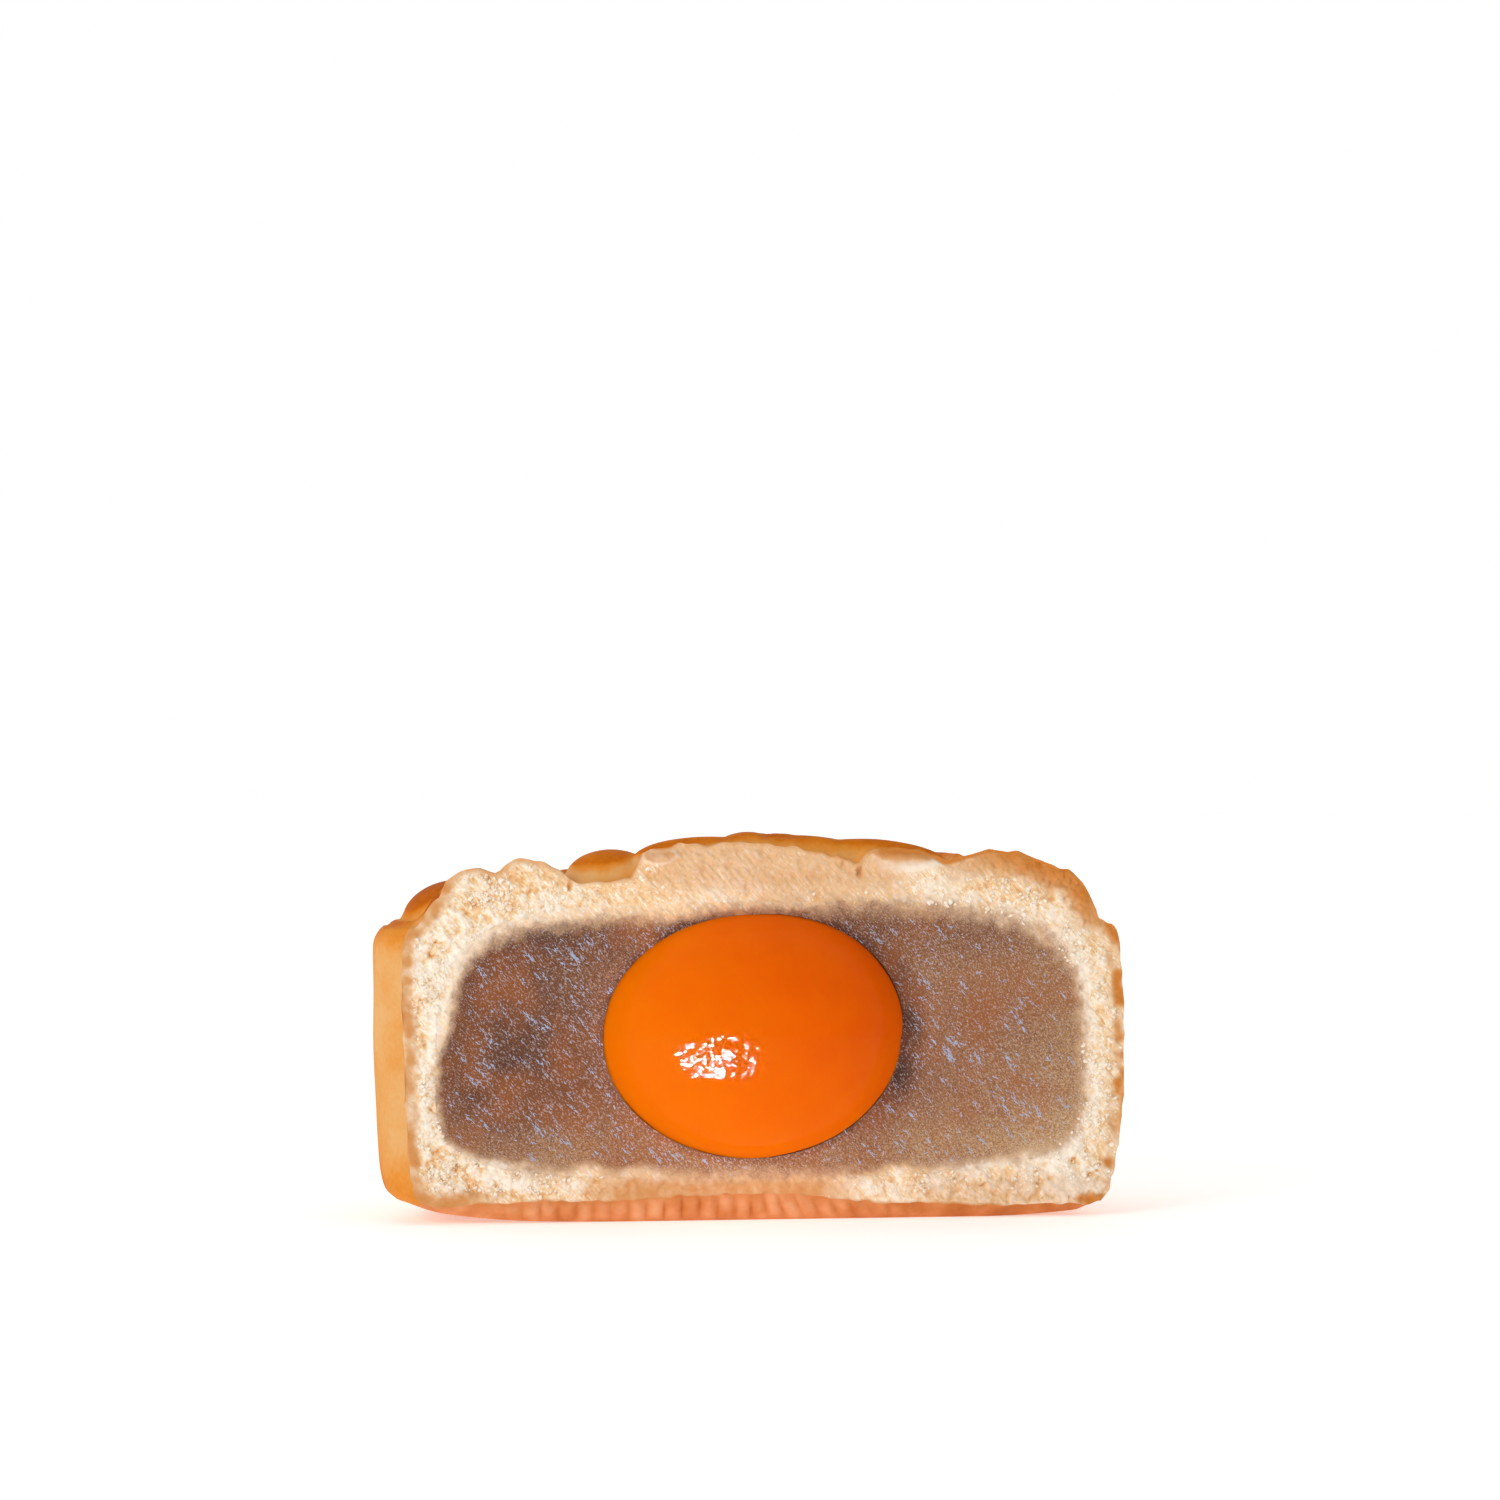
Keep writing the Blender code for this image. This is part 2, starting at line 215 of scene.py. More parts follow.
def motif(x, y):
    """The height of the crisp pattern, dome and all, at each place."""
    r, angle = np.hypot(x, y), direction(x, y)
    from_dome = np.hypot(np.where(x > DOME_X, DOME_STEEPER, 1.0) * (x - DOME_X), y)
    dome = DOME_EDGE_Z + DOME_RISE * ridge(from_dome, DOME_RADIUS) ** DOME_POWER
    middle = 0.5 * (BAND_INNER + BAND_OUTER)
    in_band = ramp(r, BAND_INNER, BAND_INNER + 0.5)
    band = scales(angle * middle, r - BAND_INNER) - BAND_SINK
    relief = flower(x, y) * (1.0 - in_band) + band * in_band
    for line in (BAND_INNER, BAND_OUTER - BORDER_HALF):
        raised = (BORDER_RISE + MOAT_SINK) * ridge(r - line, BORDER_HALF + 0.3) ** 0.6
        relief = np.maximum(relief, raised - MOAT_SINK)
    edge = r - BODY_RADIUS
    for degrees, centre, radius, hand in SCROLLS:
        turn = math.radians(degrees)
        east, north = x - centre * math.cos(turn), y - centre * math.sin(turn)
        rho, phi = np.hypot(east, north), np.arctan2(north, east)
        winding = 2.0 * math.pi * rho / SCROLL_PITCH - hand * phi
        arm = SCROLL_RISE * (0.5 + 0.5 * np.cos(winding)) * ramp(rho, radius - 1.4, radius - 2.2)
        border = SCROLL_RIM_RISE * ridge(rho - radius + SCROLL_RIM, SCROLL_RIM) ** 0.7
        face = SCROLL_LIFT - SCROLL_RISE + np.maximum(arm, border)
        cover = ramp(rho, radius, radius - 0.9)
        relief = relief * (1.0 - cover) + face * cover
        edge = np.minimum(edge, rho - radius)
    body = ramp(edge, BODY_SLOPE, -BODY_SLOPE)
    reach, a = np.hypot(x - CAKE_X, y), lobe_angle(direction(x - CAKE_X, y))
    from_lobe = np.sqrt(reach**2 + LOBE_CENTRE**2 - 2.0 * reach * LOBE_CENTRE * np.cos(a))
    arcs = ARC_RISE * ridge(from_lobe - LOBE_RADIUS + ARC_INSET, ARC_HALF) ** 0.7
    ledge = LEDGE_Z + arcs * (reach > LOBE_CENTRE)
    height = ledge + (dome + relief - ledge) * body
    for east, north, half_x, half_y, top, rise in PUFFS:
        far = np.hypot((x - east) / half_x, (y - north) / half_y)
        flank = PUFF_FLANK * np.maximum(far - 1.0, 0.0)
        height = np.maximum(height, top - rise + rise * ridge(far, 1.0) ** 0.5 - flank)
    return height


def ring_mean(field, x, y, radius):
    """The mean of a field over six points on a small ring."""
    turns = [k * math.pi / 3.0 for k in range(6)]
    return sum(field(x + radius * math.cos(t), y + radius * math.sin(t)) for t in turns) / 6.0


def softened(x, y):
    """The moulded top with its edges rounded, as dough takes them from the mould."""
    return 0.25 * motif(x, y) + 0.75 * ring_mean(motif, x, y, SOFTEN)


print("flower top", round(float(softened(np.array([FLOWER_X]), np.array([FLOWER_Y]))[0]), 2), "mm")

# %% [markdown]
# ## The top edge of the cut
# The knife runs through swollen motifs, so the top edge of the section is a row of humps with
# notches. The edge is a line of measured points, from left to right, as a template for the cake
# would have. Just behind the cut the humps blend into the moulded top.

# %% Humps along the cut
CUT_EDGE = (
    (-32.4, 31.0), (-31.8, 33.8), (-30.8, 34.7), (-29.2, 35.1), (-27.2, 34.9), (-26.4, 34.5),
    (-25.8, 35.5), (-24.5, 36.2), (-22.8, 35.9), (-21.0, 35.4), (-19.5, 34.3), (-18.3, 33.6),
    (-15.5, 33.9), (-12.9, 34.3), (-12.3, 36.5), (-11.2, 37.0), (-8.4, 37.4), (-5.2, 37.6),
    (-1.5, 37.6), (3.3, 37.1), (5.2, 36.6), (7.8, 36.2), (9.6, 35.4), (10.3, 36.0),
    (11.4, 37.0), (13.5, 37.1), (16.3, 36.7), (18.6, 35.8), (19.4, 35.8), (21.0, 36.4),
    (22.8, 36.9), (26.2, 36.7), (27.4, 36.1), (29.0, 35.4), (31.5, 34.7), (32.9, 33.3),
    (33.8, 31.6), (34.4, 29.9),
)
SECTION_BLEND = 1.5


def section_edge(x):
    """The height of the cut's top edge, or zero where the ledge takes over."""
    places, heights = zip(*CUT_EDGE)
    before, after = (
        np.interp(x + step, places, heights, left=0.0, right=0.0) for step in (-0.25, 0.25)
    )
    return np.where(np.minimum(before, after) > 0.0, 0.5 * (before + after), 0.0)


print("points on the cut's top edge:", len(CUT_EDGE))

# %% [markdown]
# ## Random relief
# Broken crumb and baked dough are uneven at several sizes at once. A displacement texture could
# give that, but then the relief would not be in the mesh. So the points themselves are moved by
# value noise: a random number at each corner of a grid, blended smoothly in between. The random
# numbers come from a hash, so every run is alike.

# %% Noise for arrays of points


def lattice(ix, iy, seed):
    """A repeatable random number between 0 and 1 for each pair of whole numbers."""
    mixed = (ix * 374761393 + iy * 668265263 + seed * 1442695041) & 0xFFFFFFFF
    mixed = ((mixed ^ (mixed >> 13)) * 1274126177) & 0xFFFFFFFF
    return ((mixed ^ (mixed >> 16)) & 0xFFFF) / 65535.0


def noise(x, y, size, seed):
    """Smooth random values between 0 and 1 whose spots are about size millimetres apart."""
    x, y = x / size + 57.3 * seed, y / size + 31.7 * seed
    ix, iy = np.floor(x).astype(np.int64), np.floor(y).astype(np.int64)
    fx, fy = ramp(x - ix, 0.0, 1.0), ramp(y - iy, 0.0, 1.0)
    low = lattice(ix, iy, seed) * (1 - fx) + lattice(ix + 1, iy, seed) * fx
    high = lattice(ix, iy + 1, seed) * (1 - fx) + lattice(ix + 1, iy + 1, seed) * fx
    return low * (1 - fy) + high * fy


def clumps(x, y, size, seed):
    """Rounded lumps with creases between them: the distance to the nearest of scattered centres."""
    x, y = x / size, y / size
    ix, iy = np.floor(x).astype(np.int64), np.floor(y).astype(np.int64)
    nearest = np.full_like(x, 9.0)
    for di in (-1, 0, 1):
        for dj in (-1, 0, 1):
            cx = ix + di + lattice(ix + di, iy + dj, seed)
            cy = iy + dj + lattice(ix + di, iy + dj, seed + 1)
            nearest = np.minimum(nearest, np.hypot(x - cx, y - cy))
    return np.clip(1.0 - nearest, 0.0, 1.0)


probe = np.linspace(0.0, 50.0, 400)
print("noise mean", round(float(noise(probe, probe * 0.37, 1.5, 3).mean()), 2))

# %% [markdown]
# ## Relief of the cut face
# A knife drags dry shortcrust apart, so the crumb breaks into flat lumps with pits between them,
# most of all at the left and the foot. The paste is moist and holds a smooth cut. A few places have
# their own form: a torn flake, a smooth puff, and creases where two motifs met in the mould. One
# function gives the relief of all, from how far a point lies inside the paste, so crumb and paste
# meet without a step.

# %% Heights over the cut plane
TORN_FLAKE = (-10.3, 36.3, 2.5, 1.1)
SMOOTH_PUFF = (14.6, 36.6, 4.5, 2.6)
# Each crease: x, its lowest point and its half width.
CREASES = ((9.9, 33.8, 0.4), (18.9, 34.9, 0.45), (8.2, 34.9, 0.25), (-19.2, 32.4, 0.3))
CREASE_DEPTH = 0.55
# Each layer of lumps: distance between them, height and seed.
LUMPS = ((1.8, 0.75, 5), (0.8, 0.55, 9), (0.42, 0.32, 13))
LUMPS_SINK = 1.15
DRAG_DEPTH, GRAIN_DEPTH = 0.2, 0.07


def crumbly(x, z):
    """How much the crumb has broken up: most at the left and the foot, least in the middle."""
    left = ramp(x, -14.0, -26.0)
    foot = ramp(z, 6.5, 2.5) * ramp(np.abs(x), 4.0, 16.0)
    right = 0.4 * ramp(x, 20.0, 31.0) + 0.2 * ramp(x, 12.0, 20.0) * ramp(z, 30.0, 32.0)
    return np.clip(0.22 + 0.78 * np.maximum(left, 0.8 * foot) + right, 0.0, 1.0)


def patch(x, z, place):
    """One in the middle of an oval place in the cut, fading to zero at its rim."""
    centre_x, centre_z, half_x, half_z = place
    return ramp(np.hypot((x - centre_x) / half_x, (z - centre_z) / half_z), 1.0, 0.5)


def flakes(x, z, size, seed):
    """Rounded lumps with creases between them, size millimetres apart."""
    east = x + 0.7 * size * (noise(x, z, 0.5 * size, seed) - 0.5)
    up = z + 0.7 * size * (noise(z, x, 0.5 * size, seed) - 0.5)
    return np.sqrt(clumps(east, up, size, seed))


def crumbs_over(x, z):
    """How far, in mm, the crumb reaches over the paste."""
    upper_left = 0.9 * ramp(x, -3.0, -11.0) * ramp(z, 24.0, 28.5)
    over_yolk = 0.7 * ramp(z, 29.0, 31.0) * ramp(x, 9.0, 3.0)
    left_side = 1.3 * ramp(x, -22.0, -28.0) * ramp(z, 15.0, 21.0)
    foot = 1.6 * ramp(z, 8.5, 4.5) * noise(x, z, 2.6, 59) * ramp(np.abs(x), 5.0, 14.0)
    return np.maximum(upper_left + over_yolk, left_side) - 0.4 * ramp(x, 24.0, 31.0) + foot


def cut_relief(x, z, inside):
    """Millimetres that the surface stands out of the cut plane. inside is positive in the paste."""
    lumps = sum(height * flakes(x, z, size, seed) for size, height, seed in LUMPS) - LUMPS_SINK
    drag = DRAG_DEPTH * (noise(0.74 * x + 0.67 * z, 0.17 * x - 0.19 * z, 0.28, 17) - 0.5)
    loose = crumbly(x, z)
    broken = (0.12 + 0.88 * loose) * lumps + (1.0 - loose) * drag
    broken = broken + GRAIN_DEPTH * (noise(x, z, 0.34, 11) - 0.5)
    puff = patch(x, z, SMOOTH_PUFF)
    broken = broken * (1.0 - 0.9 * puff) + 0.45 * puff + 0.5 * patch(x, z, TORN_FLAKE)
    for crease_x, lowest, half in CREASES:
        broken = broken - CREASE_DEPTH * ridge(x - crease_x, half) * ramp(z, lowest, lowest + 0.8)
    dragged = 0.08 * (noise(x + 0.55 * z, 0.3 * z, 0.5, 21) - 0.5)
    paste = dragged + 0.12 * (noise(x, z, 2.2, 23) - 0.5)
    crumb = ramp(inside - crumbs_over(x, z), 0.8, 0.0)
    broad = 0.3 * (noise(x, z, 7.0, 2) - 0.5)
    return broad + crumb * broken + (1.0 - crumb) * (paste - 0.1)


relief = cut_relief(probe - 25.0, probe * 0.7, -2.0 + 0.0 * probe)
print("crumb relief from", round(float(relief.min()), 2), "to", round(float(relief.max()), 2), "mm")

# %% [markdown]
# ## Where the paste meets the crust
# The paste is a ball of dough wrapped in the skin and pressed flat, so its section is a rounded
# slab. It is described once as a turned form round the cake's axis, and the cut section follows
# from it.

# %% The paste's form
PASTE_RADIUS = 32.6
PASTE_MIDDLE = 14.0
PASTE_UP = 17.7
PASTE_DOWN = 9.7
PASTE_TOP_POWER = 4.2
PASTE_BASE_POWER = 4.0
YOLK_CENTRE = (-0.9, CUT_Y + 2.0, 18.3)
YOLK_AXES = (15.25, 11.0, 12.3)


def paste_reach(directions, centre_z):
    """How far the paste reaches from (0, centre_z) in each direction of the cut plane."""
    turns = np.linspace(0.0, 0.5 * math.pi, 700)
    x, z = [], []
    for power, reach in ((PASTE_TOP_POWER, PASTE_UP), (PASTE_BASE_POWER, -PASTE_DOWN)):
        radius = PASTE_RADIUS * np.sin(turns) ** (2.0 / power)
        kept = radius > -CUT_Y
        side = np.sqrt(np.maximum(radius[kept] ** 2 - CUT_Y**2, 0.0))
        height = PASTE_MIDDLE + reach * np.clip(np.cos(turns[kept]), 0.0, 1.0) ** (2.0 / power)
        x.append(side if reach > 0 else side[::-1])
        z.append(height if reach > 0 else height[::-1])
    x, z = np.concatenate(x), np.concatenate(z)
    angle, far = np.arctan2(z - centre_z, x), np.hypot(x, z - centre_z)
    folded = np.arctan2(np.sin(directions), np.abs(np.cos(directions)))
    order = np.argsort(angle)
    return np.interp(folded, angle[order], far[order])


def section_points(directions, centre_z):
    """The border of the paste in the cut, as x and z for each direction."""
    far = paste_reach(directions, centre_z)
    return np.column_stack((far * np.cos(directions), centre_z + far * np.sin(directions)))


section_box = section_points(np.linspace(0.0, 2.0 * math.pi, 361), 17.0)
print("paste section", np.ptp(section_box, axis=0).round(1), "mm")

# %% [markdown]
# ## Building a mesh from patches
# Each surface is a grid of points. Neighbouring grids share a row, and points that coincide are
# joined, so the patches close into one skin with no holes. Cutting a solid with a boolean would be
# quicker to write, but it leaves long thin triangles that spoil fine relief. Numbers that the
# materials need ride on the points, and where two patches meet, the number of the first one that
# has it holds.

# %% Patches to one closed mesh
JOIN_MM = 0.002


def spread(start, end, count, dense_start=0.0, dense_end=0.0):
    """Values from start to end that crowd together at either end."""
    v = np.linspace(0.0, 1.0, 400)
    weight = 1.0 + dense_start * np.exp(-((v / 0.06) ** 2)) + dense_end * ramp(v, 0.7, 0.95)
    total = np.concatenate(([0.0], np.cumsum(0.5 * (weight[1:] + weight[:-1]))))
    return start + (end - start) * np.interp(np.linspace(0.0, total[-1], count), total, v)


def sheet(grid):
    """The points of a grid and its four-sided faces."""
    rows, columns = grid.shape[:2]
    index = np.arange(rows * columns).reshape(rows, columns)
    faces = np.stack((index[:-1, :-1], index[:-1, 1:], index[1:, 1:], index[1:, :-1]), axis=-1)
    return grid.reshape(-1, 3), faces.reshape(-1, 4).tolist()


def closed_mesh(name, patches, materials, caps=()):
    """One object from patches in mm, each (points, faces, material number, {attribute: values}).

    caps: (points of a loop, material number), each closed with one face.
    """
    points, faces, slots = [], [], []
    attributes = {key: [] for *_, values in patches for key in values}
    count = 0
    for corners, loops, slot, values in patches:
        points.append(corners)
        faces += [[count + corner for corner in loop] for loop in loops]
        slots += [slot] * len(loops)
        for key, stored in attributes.items():
            stored.append(np.broadcast_to(np.ravel(values.get(key, np.nan)), len(corners)))
        count += len(corners)
    points = np.concatenate(points)
    keys = np.round(points / JOIN_MM).astype(np.int64)
    _, first, joined = np.unique(keys, axis=0, return_index=True, return_inverse=True)
    joined = joined.reshape(-1)
    lists, kept_slots = [], []
    merged = joined.tolist()
    for corners, slot in zip(faces, slots):
        corners = [merged[corner] for corner in corners]
        loop = [v for k, v in enumerate(corners) if v != corners[k - 1]]
        if len(set(loop)) == len(loop) >= 3:
            lists.append(loop)
            kept_slots.append(slot)
    lookup = {tuple(key): k for k, key in enumerate(keys[first].tolist())}
    for cap, slot in caps:
        loop = [lookup[tuple(np.round(p / JOIN_MM).astype(np.int64).tolist())] for p in cap]
        lists.append(list(dict.fromkeys(loop)))
        kept_slots.append(slot)
    mesh = bpy.data.meshes.new(name)
    mesh.from_pydata((points[first] * MM).tolist(), [], lists)
    mesh.polygons.foreach_set("material_index", kept_slots)
    mesh.polygons.foreach_set("use_smooth", [True] * len(lists))
    for key, stored in attributes.items():
        stored = np.concatenate(stored)
        known = np.flatnonzero(~np.isnan(stored))[::-1]
        kept = np.zeros(len(first), np.float32)
        kept[joined[known]] = stored[known]
        layer = mesh.attributes.new(key, "FLOAT", "POINT")
        layer.data.foreach_set("value", kept)
    for material in materials:
        mesh.materials.append(material)
    mesh.update()
    mesh.validate()
    return placed(name, mesh)


def scattered(name, shape, faces, frames, centres, values, material):
    """Copies of one closed shape in a single mesh. frames are matrices that turn and size them."""
    points = np.einsum("nij,pj->npi", frames, shape) + centres[:, None]
    lists = np.arange(len(centres))[:, None, None] * len(shape) + faces
    mesh = bpy.data.meshes.new(name)
    lists = lists.reshape(-1, faces.shape[1]).tolist()
    mesh.from_pydata((points.reshape(-1, 3) * MM).tolist(), [], lists)
    for key, stored in values.items():
        layer = mesh.attributes.new(key, "FLOAT", "POINT")
        layer.data.foreach_set("value", np.repeat(stored, len(shape)).astype(np.float32))
    mesh.materials.append(material)
    return placed(name, mesh)


# %% Placing a mesh
SHARP_FOLD = math.radians(62.0)


def placed(name, mesh):
    """Links a mesh, turns its faces outwards, and lets it ride on the part's one body."""
    shape = bmesh.new()
    shape.from_mesh(mesh)
    bmesh.ops.recalc_face_normals(shape, faces=shape.faces)
    for edge in shape.edges:
        edge.smooth = edge.calc_face_angle(0.0) < SHARP_FOLD
    shape.to_mesh(mesh)
    loose = sum(1 for edge in shape.edges if len(edge.link_faces) != 2)
    triangles = sum(len(face.verts) - 2 for face in shape.faces)
    shape.free()
    obj = bpy.data.objects.new(name, mesh)
    bpy.context.collection.objects.link(obj)
    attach(obj, "root")
    print(f"{name}: {triangles} triangles, {loose} edges not shared by two faces")
    return obj


print("folds over", round(math.degrees(SHARP_FOLD)), "degrees stay sharp")

# %% [markdown]
# ## Colours and nodes
# Colours are written as a screen shows them, and one function turns them into the linear values
# that light needs. One small function adds a shader node, sets it up and links its inputs, so that
# a material reads as a recipe and not as a list of clicks.

# %% Colour and node helpers


def linear(code):
    """A hex colour as linear red, green, blue and alpha."""
    channels = [int(code[k : k + 2], 16) / 255.0 for k in (1, 3, 5)]
    return [c / 12.92 if c <= 0.04045 else ((c + 0.055) / 1.055) ** 2.4 for c in channels] + [1.0]


def feed(tree, node, inputs):
    """Fills a node's inputs. Each value is a number, a colour or another node's output."""
    for key, value in inputs.items():
        if isinstance(value, bpy.types.NodeSocket):
            tree.links.new(value, node.inputs[key])
        else:
            node.inputs[key].default_value = value


def add(tree, kind, inputs=None, out=0, stops=None, **settings):
    """Adds a node and gives back one of its outputs. stops are the places and colours of a ramp."""
    made = tree.nodes.new(kind)
    for key, value in settings.items():
        setattr(made, key, value)
    feed(tree, made, inputs or {})
    if stops:
        elements = made.color_ramp.elements
        while len(elements) < len(stops):
            elements.new(0.5)
        for element, (place, code) in zip(elements, stops):
            element.position = place
            element.color = linear(code)
    return made.outputs[out]


def new_material(name, roughness, ior, scatter, scatter_mm):
    """A material, its tree and shader. scatter is how much light goes in, scatter_mm how far."""
    material = bpy.data.materials.new(name)
    material.use_nodes = True
    tree = material.node_tree
    shader = tree.nodes["Principled BSDF"]
    depth = {
        "Subsurface Weight": scatter,
        "Subsurface Radius": (1.0, 0.5, 0.25),
        "Subsurface Scale": scatter_mm * MM,
    }
    feed(tree, shader, {"Roughness": roughness, "IOR": ior, **depth})
    return material, tree, shader


print("cream in linear light", [round(c, 3) for c in linear("#F2DDB8")])

# %% [markdown]
# ## Baked skin
# The skin is shortcrust dough brushed with egg and baked. Raised edges brown first, hollows stay
# pale, and the dried egg leaves a satin film. A painted image could hold the browning, but a value
# on the points follows the relief by itself: "bake" says how far the crust has browned at each
# place, and a colour ramp turns that into colour. Blotches a few millimetres wide keep it from
# looking painted.

# %% Material: egg-glazed shortcrust
GLAZE_RAMP = (
    (0.0, "#D9AF7C"),
    (0.28, "#DCA86A"),
    (0.5, "#DA8D38"),
    (0.68, "#CE7210"),
    (0.85, "#B05408"),
    (1.0, "#6E2D08"),
)
BLOTCH_MM, BLOTCH_BROWNING = 4.5, 0.4
PORE_MM, PORE_BROWNING = 0.45, 0.16


def glazed_shortcrust():
    """Baked dough under dried egg: warm, satin, with pores about half a millimetre apart."""
    material, tree, shader = new_material("glazed_shortcrust", 0.42, 1.45, 0.12, 0.8)
    place = add(tree, "ShaderNodeTexCoord", out="Object")
    blotch, pores = (
        add(
            tree,
            "ShaderNodeTexNoise",
            {"Vector": place, "Scale": 1 / (size * MM), "Detail": detail},
        )
        for size, detail in ((BLOTCH_MM, 4.0), (PORE_MM, 3.0))
    )
    level = add(tree, "ShaderNodeAttribute", out="Fac", attribute_name="bake")
    for pattern, browning in ((blotch, BLOTCH_BROWNING), (pores, PORE_BROWNING)):
        weighed = {0: pattern, 1: browning, 2: level}
        level = add(tree, "ShaderNodeMath", weighed, operation="MULTIPLY_ADD")
    mean = 0.5 * (BLOTCH_BROWNING + PORE_BROWNING)
    level = add(tree, "ShaderNodeMath", {0: level, 1: mean}, operation="SUBTRACT")
    colour = add(tree, "ShaderNodeValToRGB", {"Fac": level}, stops=GLAZE_RAMP)
    gloss = {"Value": blotch, "From Min": 0.3, "From Max": 0.7, "To Min": 0.34, "To Max": 0.52}
    satin = add(tree, "ShaderNodeMapRange", gloss)
    bump = add(tree, "ShaderNodeBump", {"Height": pores, "Strength": 0.4, "Distance": 0.05 * MM})
    feed(tree, shader, {"Base Color": colour, "Roughness": satin, "Normal": bump})
    feed(tree, shader, {"Specular IOR Level": 0.0, "Coat Weight": 0.12, "Coat Roughness": 0.2})
    return material


glaze = glazed_shortcrust()
print("material:", glaze.name)

# %% [markdown]
# ## Underside
# The cake bakes on its flat base, so the base browns to an even reddish tan and stays dull, with no
# egg on it. It could share the glaze with less coat, but its reddish colours need a ramp of their
# own.

# %% Material: dry baked base
# The pale end also gives the rib crests a painted highlight, and the dark end paints shade in the
# grooves.
BASE_RAMP = ((0.1, "#B46029"), (0.4, "#CB7A40"), (0.62, "#DA8D58"), (0.85, "#E5A678"))
PATCH_MM, PIT_MM = 2.6, 0.35


def dry_baked_base():
    """Unglazed baked dough: matt, reddish tan, finely pitted, with painted highlights on its ribs
    and painted shade between them.
    """
    material, tree, shader = new_material("dry_baked_base", 0.65, 1.45, 0.1, 0.8)
    place = add(tree, "ShaderNodeTexCoord", out="Object")
    pale = add(tree, "ShaderNodeAttribute", out="Fac", attribute_name="pale")
    patches, pits = (
        add(
            tree,
            "ShaderNodeTexNoise",
            {"Vector": place, "Scale": 1 / (size * MM), "Detail": detail},
        )
        for size, detail in ((PATCH_MM, 5.0), (PIT_MM, 2.0))
    )
    tone = add(tree, "ShaderNodeMath", {0: pale, 1: 0.5, 2: patches}, operation="MULTIPLY_ADD")
    colour = add(tree, "ShaderNodeValToRGB", {"Fac": tone}, stops=BASE_RAMP)
    bump = add(tree, "ShaderNodeBump", {"Height": pits, "Strength": 0.5, "Distance": 0.08 * MM})
    feed(tree, shader, {"Base Color": colour, "Normal": bump, "Specular IOR Level": 0.15})
    return material


base_skin = dry_baked_base()
print("material:", base_skin.name)

# %% [markdown]
# ## Cut section
# Two foods meet in the cut: dry crumb, which scatters light and looks cream with toasted edges, and
# bird's nest paste, which is grey-brown, moist and full of fine pale flecks, partly the nest's own
# pale fibres and partly painted glints of light. Two materials would meet in a hard line, but the
# real border is soft and ragged. So one material holds both and mixes them by the point value
# "inside": millimetres into the paste, shifted by noise. "toast" browns the crumb near the skin.
# "rise" is the relief, and the colour follows it as painted light: lumps come out pale, a painted
# highlight, and pits warm tan, painted shade. "shade" darkens and lightens the paste from side to
# side, and also holds a painted shadow round the yolk and to its right.

# %% Material: shortcrust crumb
# The dark tan end paints shade into the pits, the near-white end paints a highlight on the lumps;
# the cream between is the crumb's own colour.
CRUMB_RAMP = ((0.0, "#CD8743"), (0.25, "#E2AD74"), (0.5, "#EFCDA0"), (0.8, "#FAF0E2"))
TOAST_RAMP = ((0.35, "#DDC0A0"), (0.7, "#D6A16C"), (1.0, "#CC8036"))
LUMP_MM, GRIT_MM = 1.1, 0.26
DRAGGED_MM = (0.2, 0.8)


def crumb_colour(tree, lumps, grit, dragged, rise, toast):
    """Pale on the lumps as a painted highlight and where the knife dragged it, tan in the pits as
    painted shade, browner near the skin.
    """
    # rise is the relief: high lumps get a painted highlight, low pits painted shade.
    tone = rise
    for pattern, weight in ((lumps, 0.5), (grit, 0.55), (dragged, 0.3)):
        weighed = {0: pattern, 1: weight, 2: tone}
        tone = add(tree, "ShaderNodeMath", weighed, operation="MULTIPLY_ADD")
    pale = add(tree, "ShaderNodeValToRGB", {"Fac": tone}, stops=CRUMB_RAMP)
    level = add(tree, "ShaderNodeMath", {0: lumps, 1: 0.4, 2: toast}, operation="MULTIPLY_ADD")
    baked = add(tree, "ShaderNodeValToRGB", {"Fac": level}, stops=TOAST_RAMP)
    share = add(tree, "ShaderNodeMapRange", {"Value": level, "From Min": 0.3, "From Max": 0.75})
    return add(tree, "ShaderNodeMix", {0: share, 6: pale, 7: baked}, out=2, data_type="RGBA")


# %% Material: bird's nest paste
PASTE_RAMP = (
    (0.0, "#492B20"), (0.3, "#6F4630"), (0.55, "#8F6243"), (0.8, "#B18A62"), (1.0, "#CFAE88"),
)
REDDISH = "#9A5A2C"
# The pale flecks are partly the nest's own fibres and partly painted glints of light.
FLECK_AND_GLINT_COLOUR = "#DAD6DC"
STAIN_COLOUR = "#C9A27C"
LEAN = math.radians(-42.0)
GRAIN_MM, REDDISH_MM = 0.14, 6.0
FLECK_MM = (0.11, 0.27)
FLECK_AND_GLINT_COVER = 0.36


def flecks(tree, place, size_mm):
    """A mask of short flecks that lean the way the knife moved. size_mm is their width, length."""
    width, length = (size * MM for size in size_mm)
    turned = {"Vector": place, "Rotation": (0.0, LEAN, 0.0), "Scale": (width, length, length)}
    leaned = add(tree, "ShaderNodeMapping", turned, vector_type="TEXTURE")
    spots = {"Vector": leaned, "Scale": 1.0, "Detail": 1.0, "Distortion": 0.3}
    field = add(tree, "ShaderNodeTexNoise", spots)
    return add(tree, "ShaderNodeMapRange", {"Value": field, "From Min": 0.56, "From Max": 0.66})


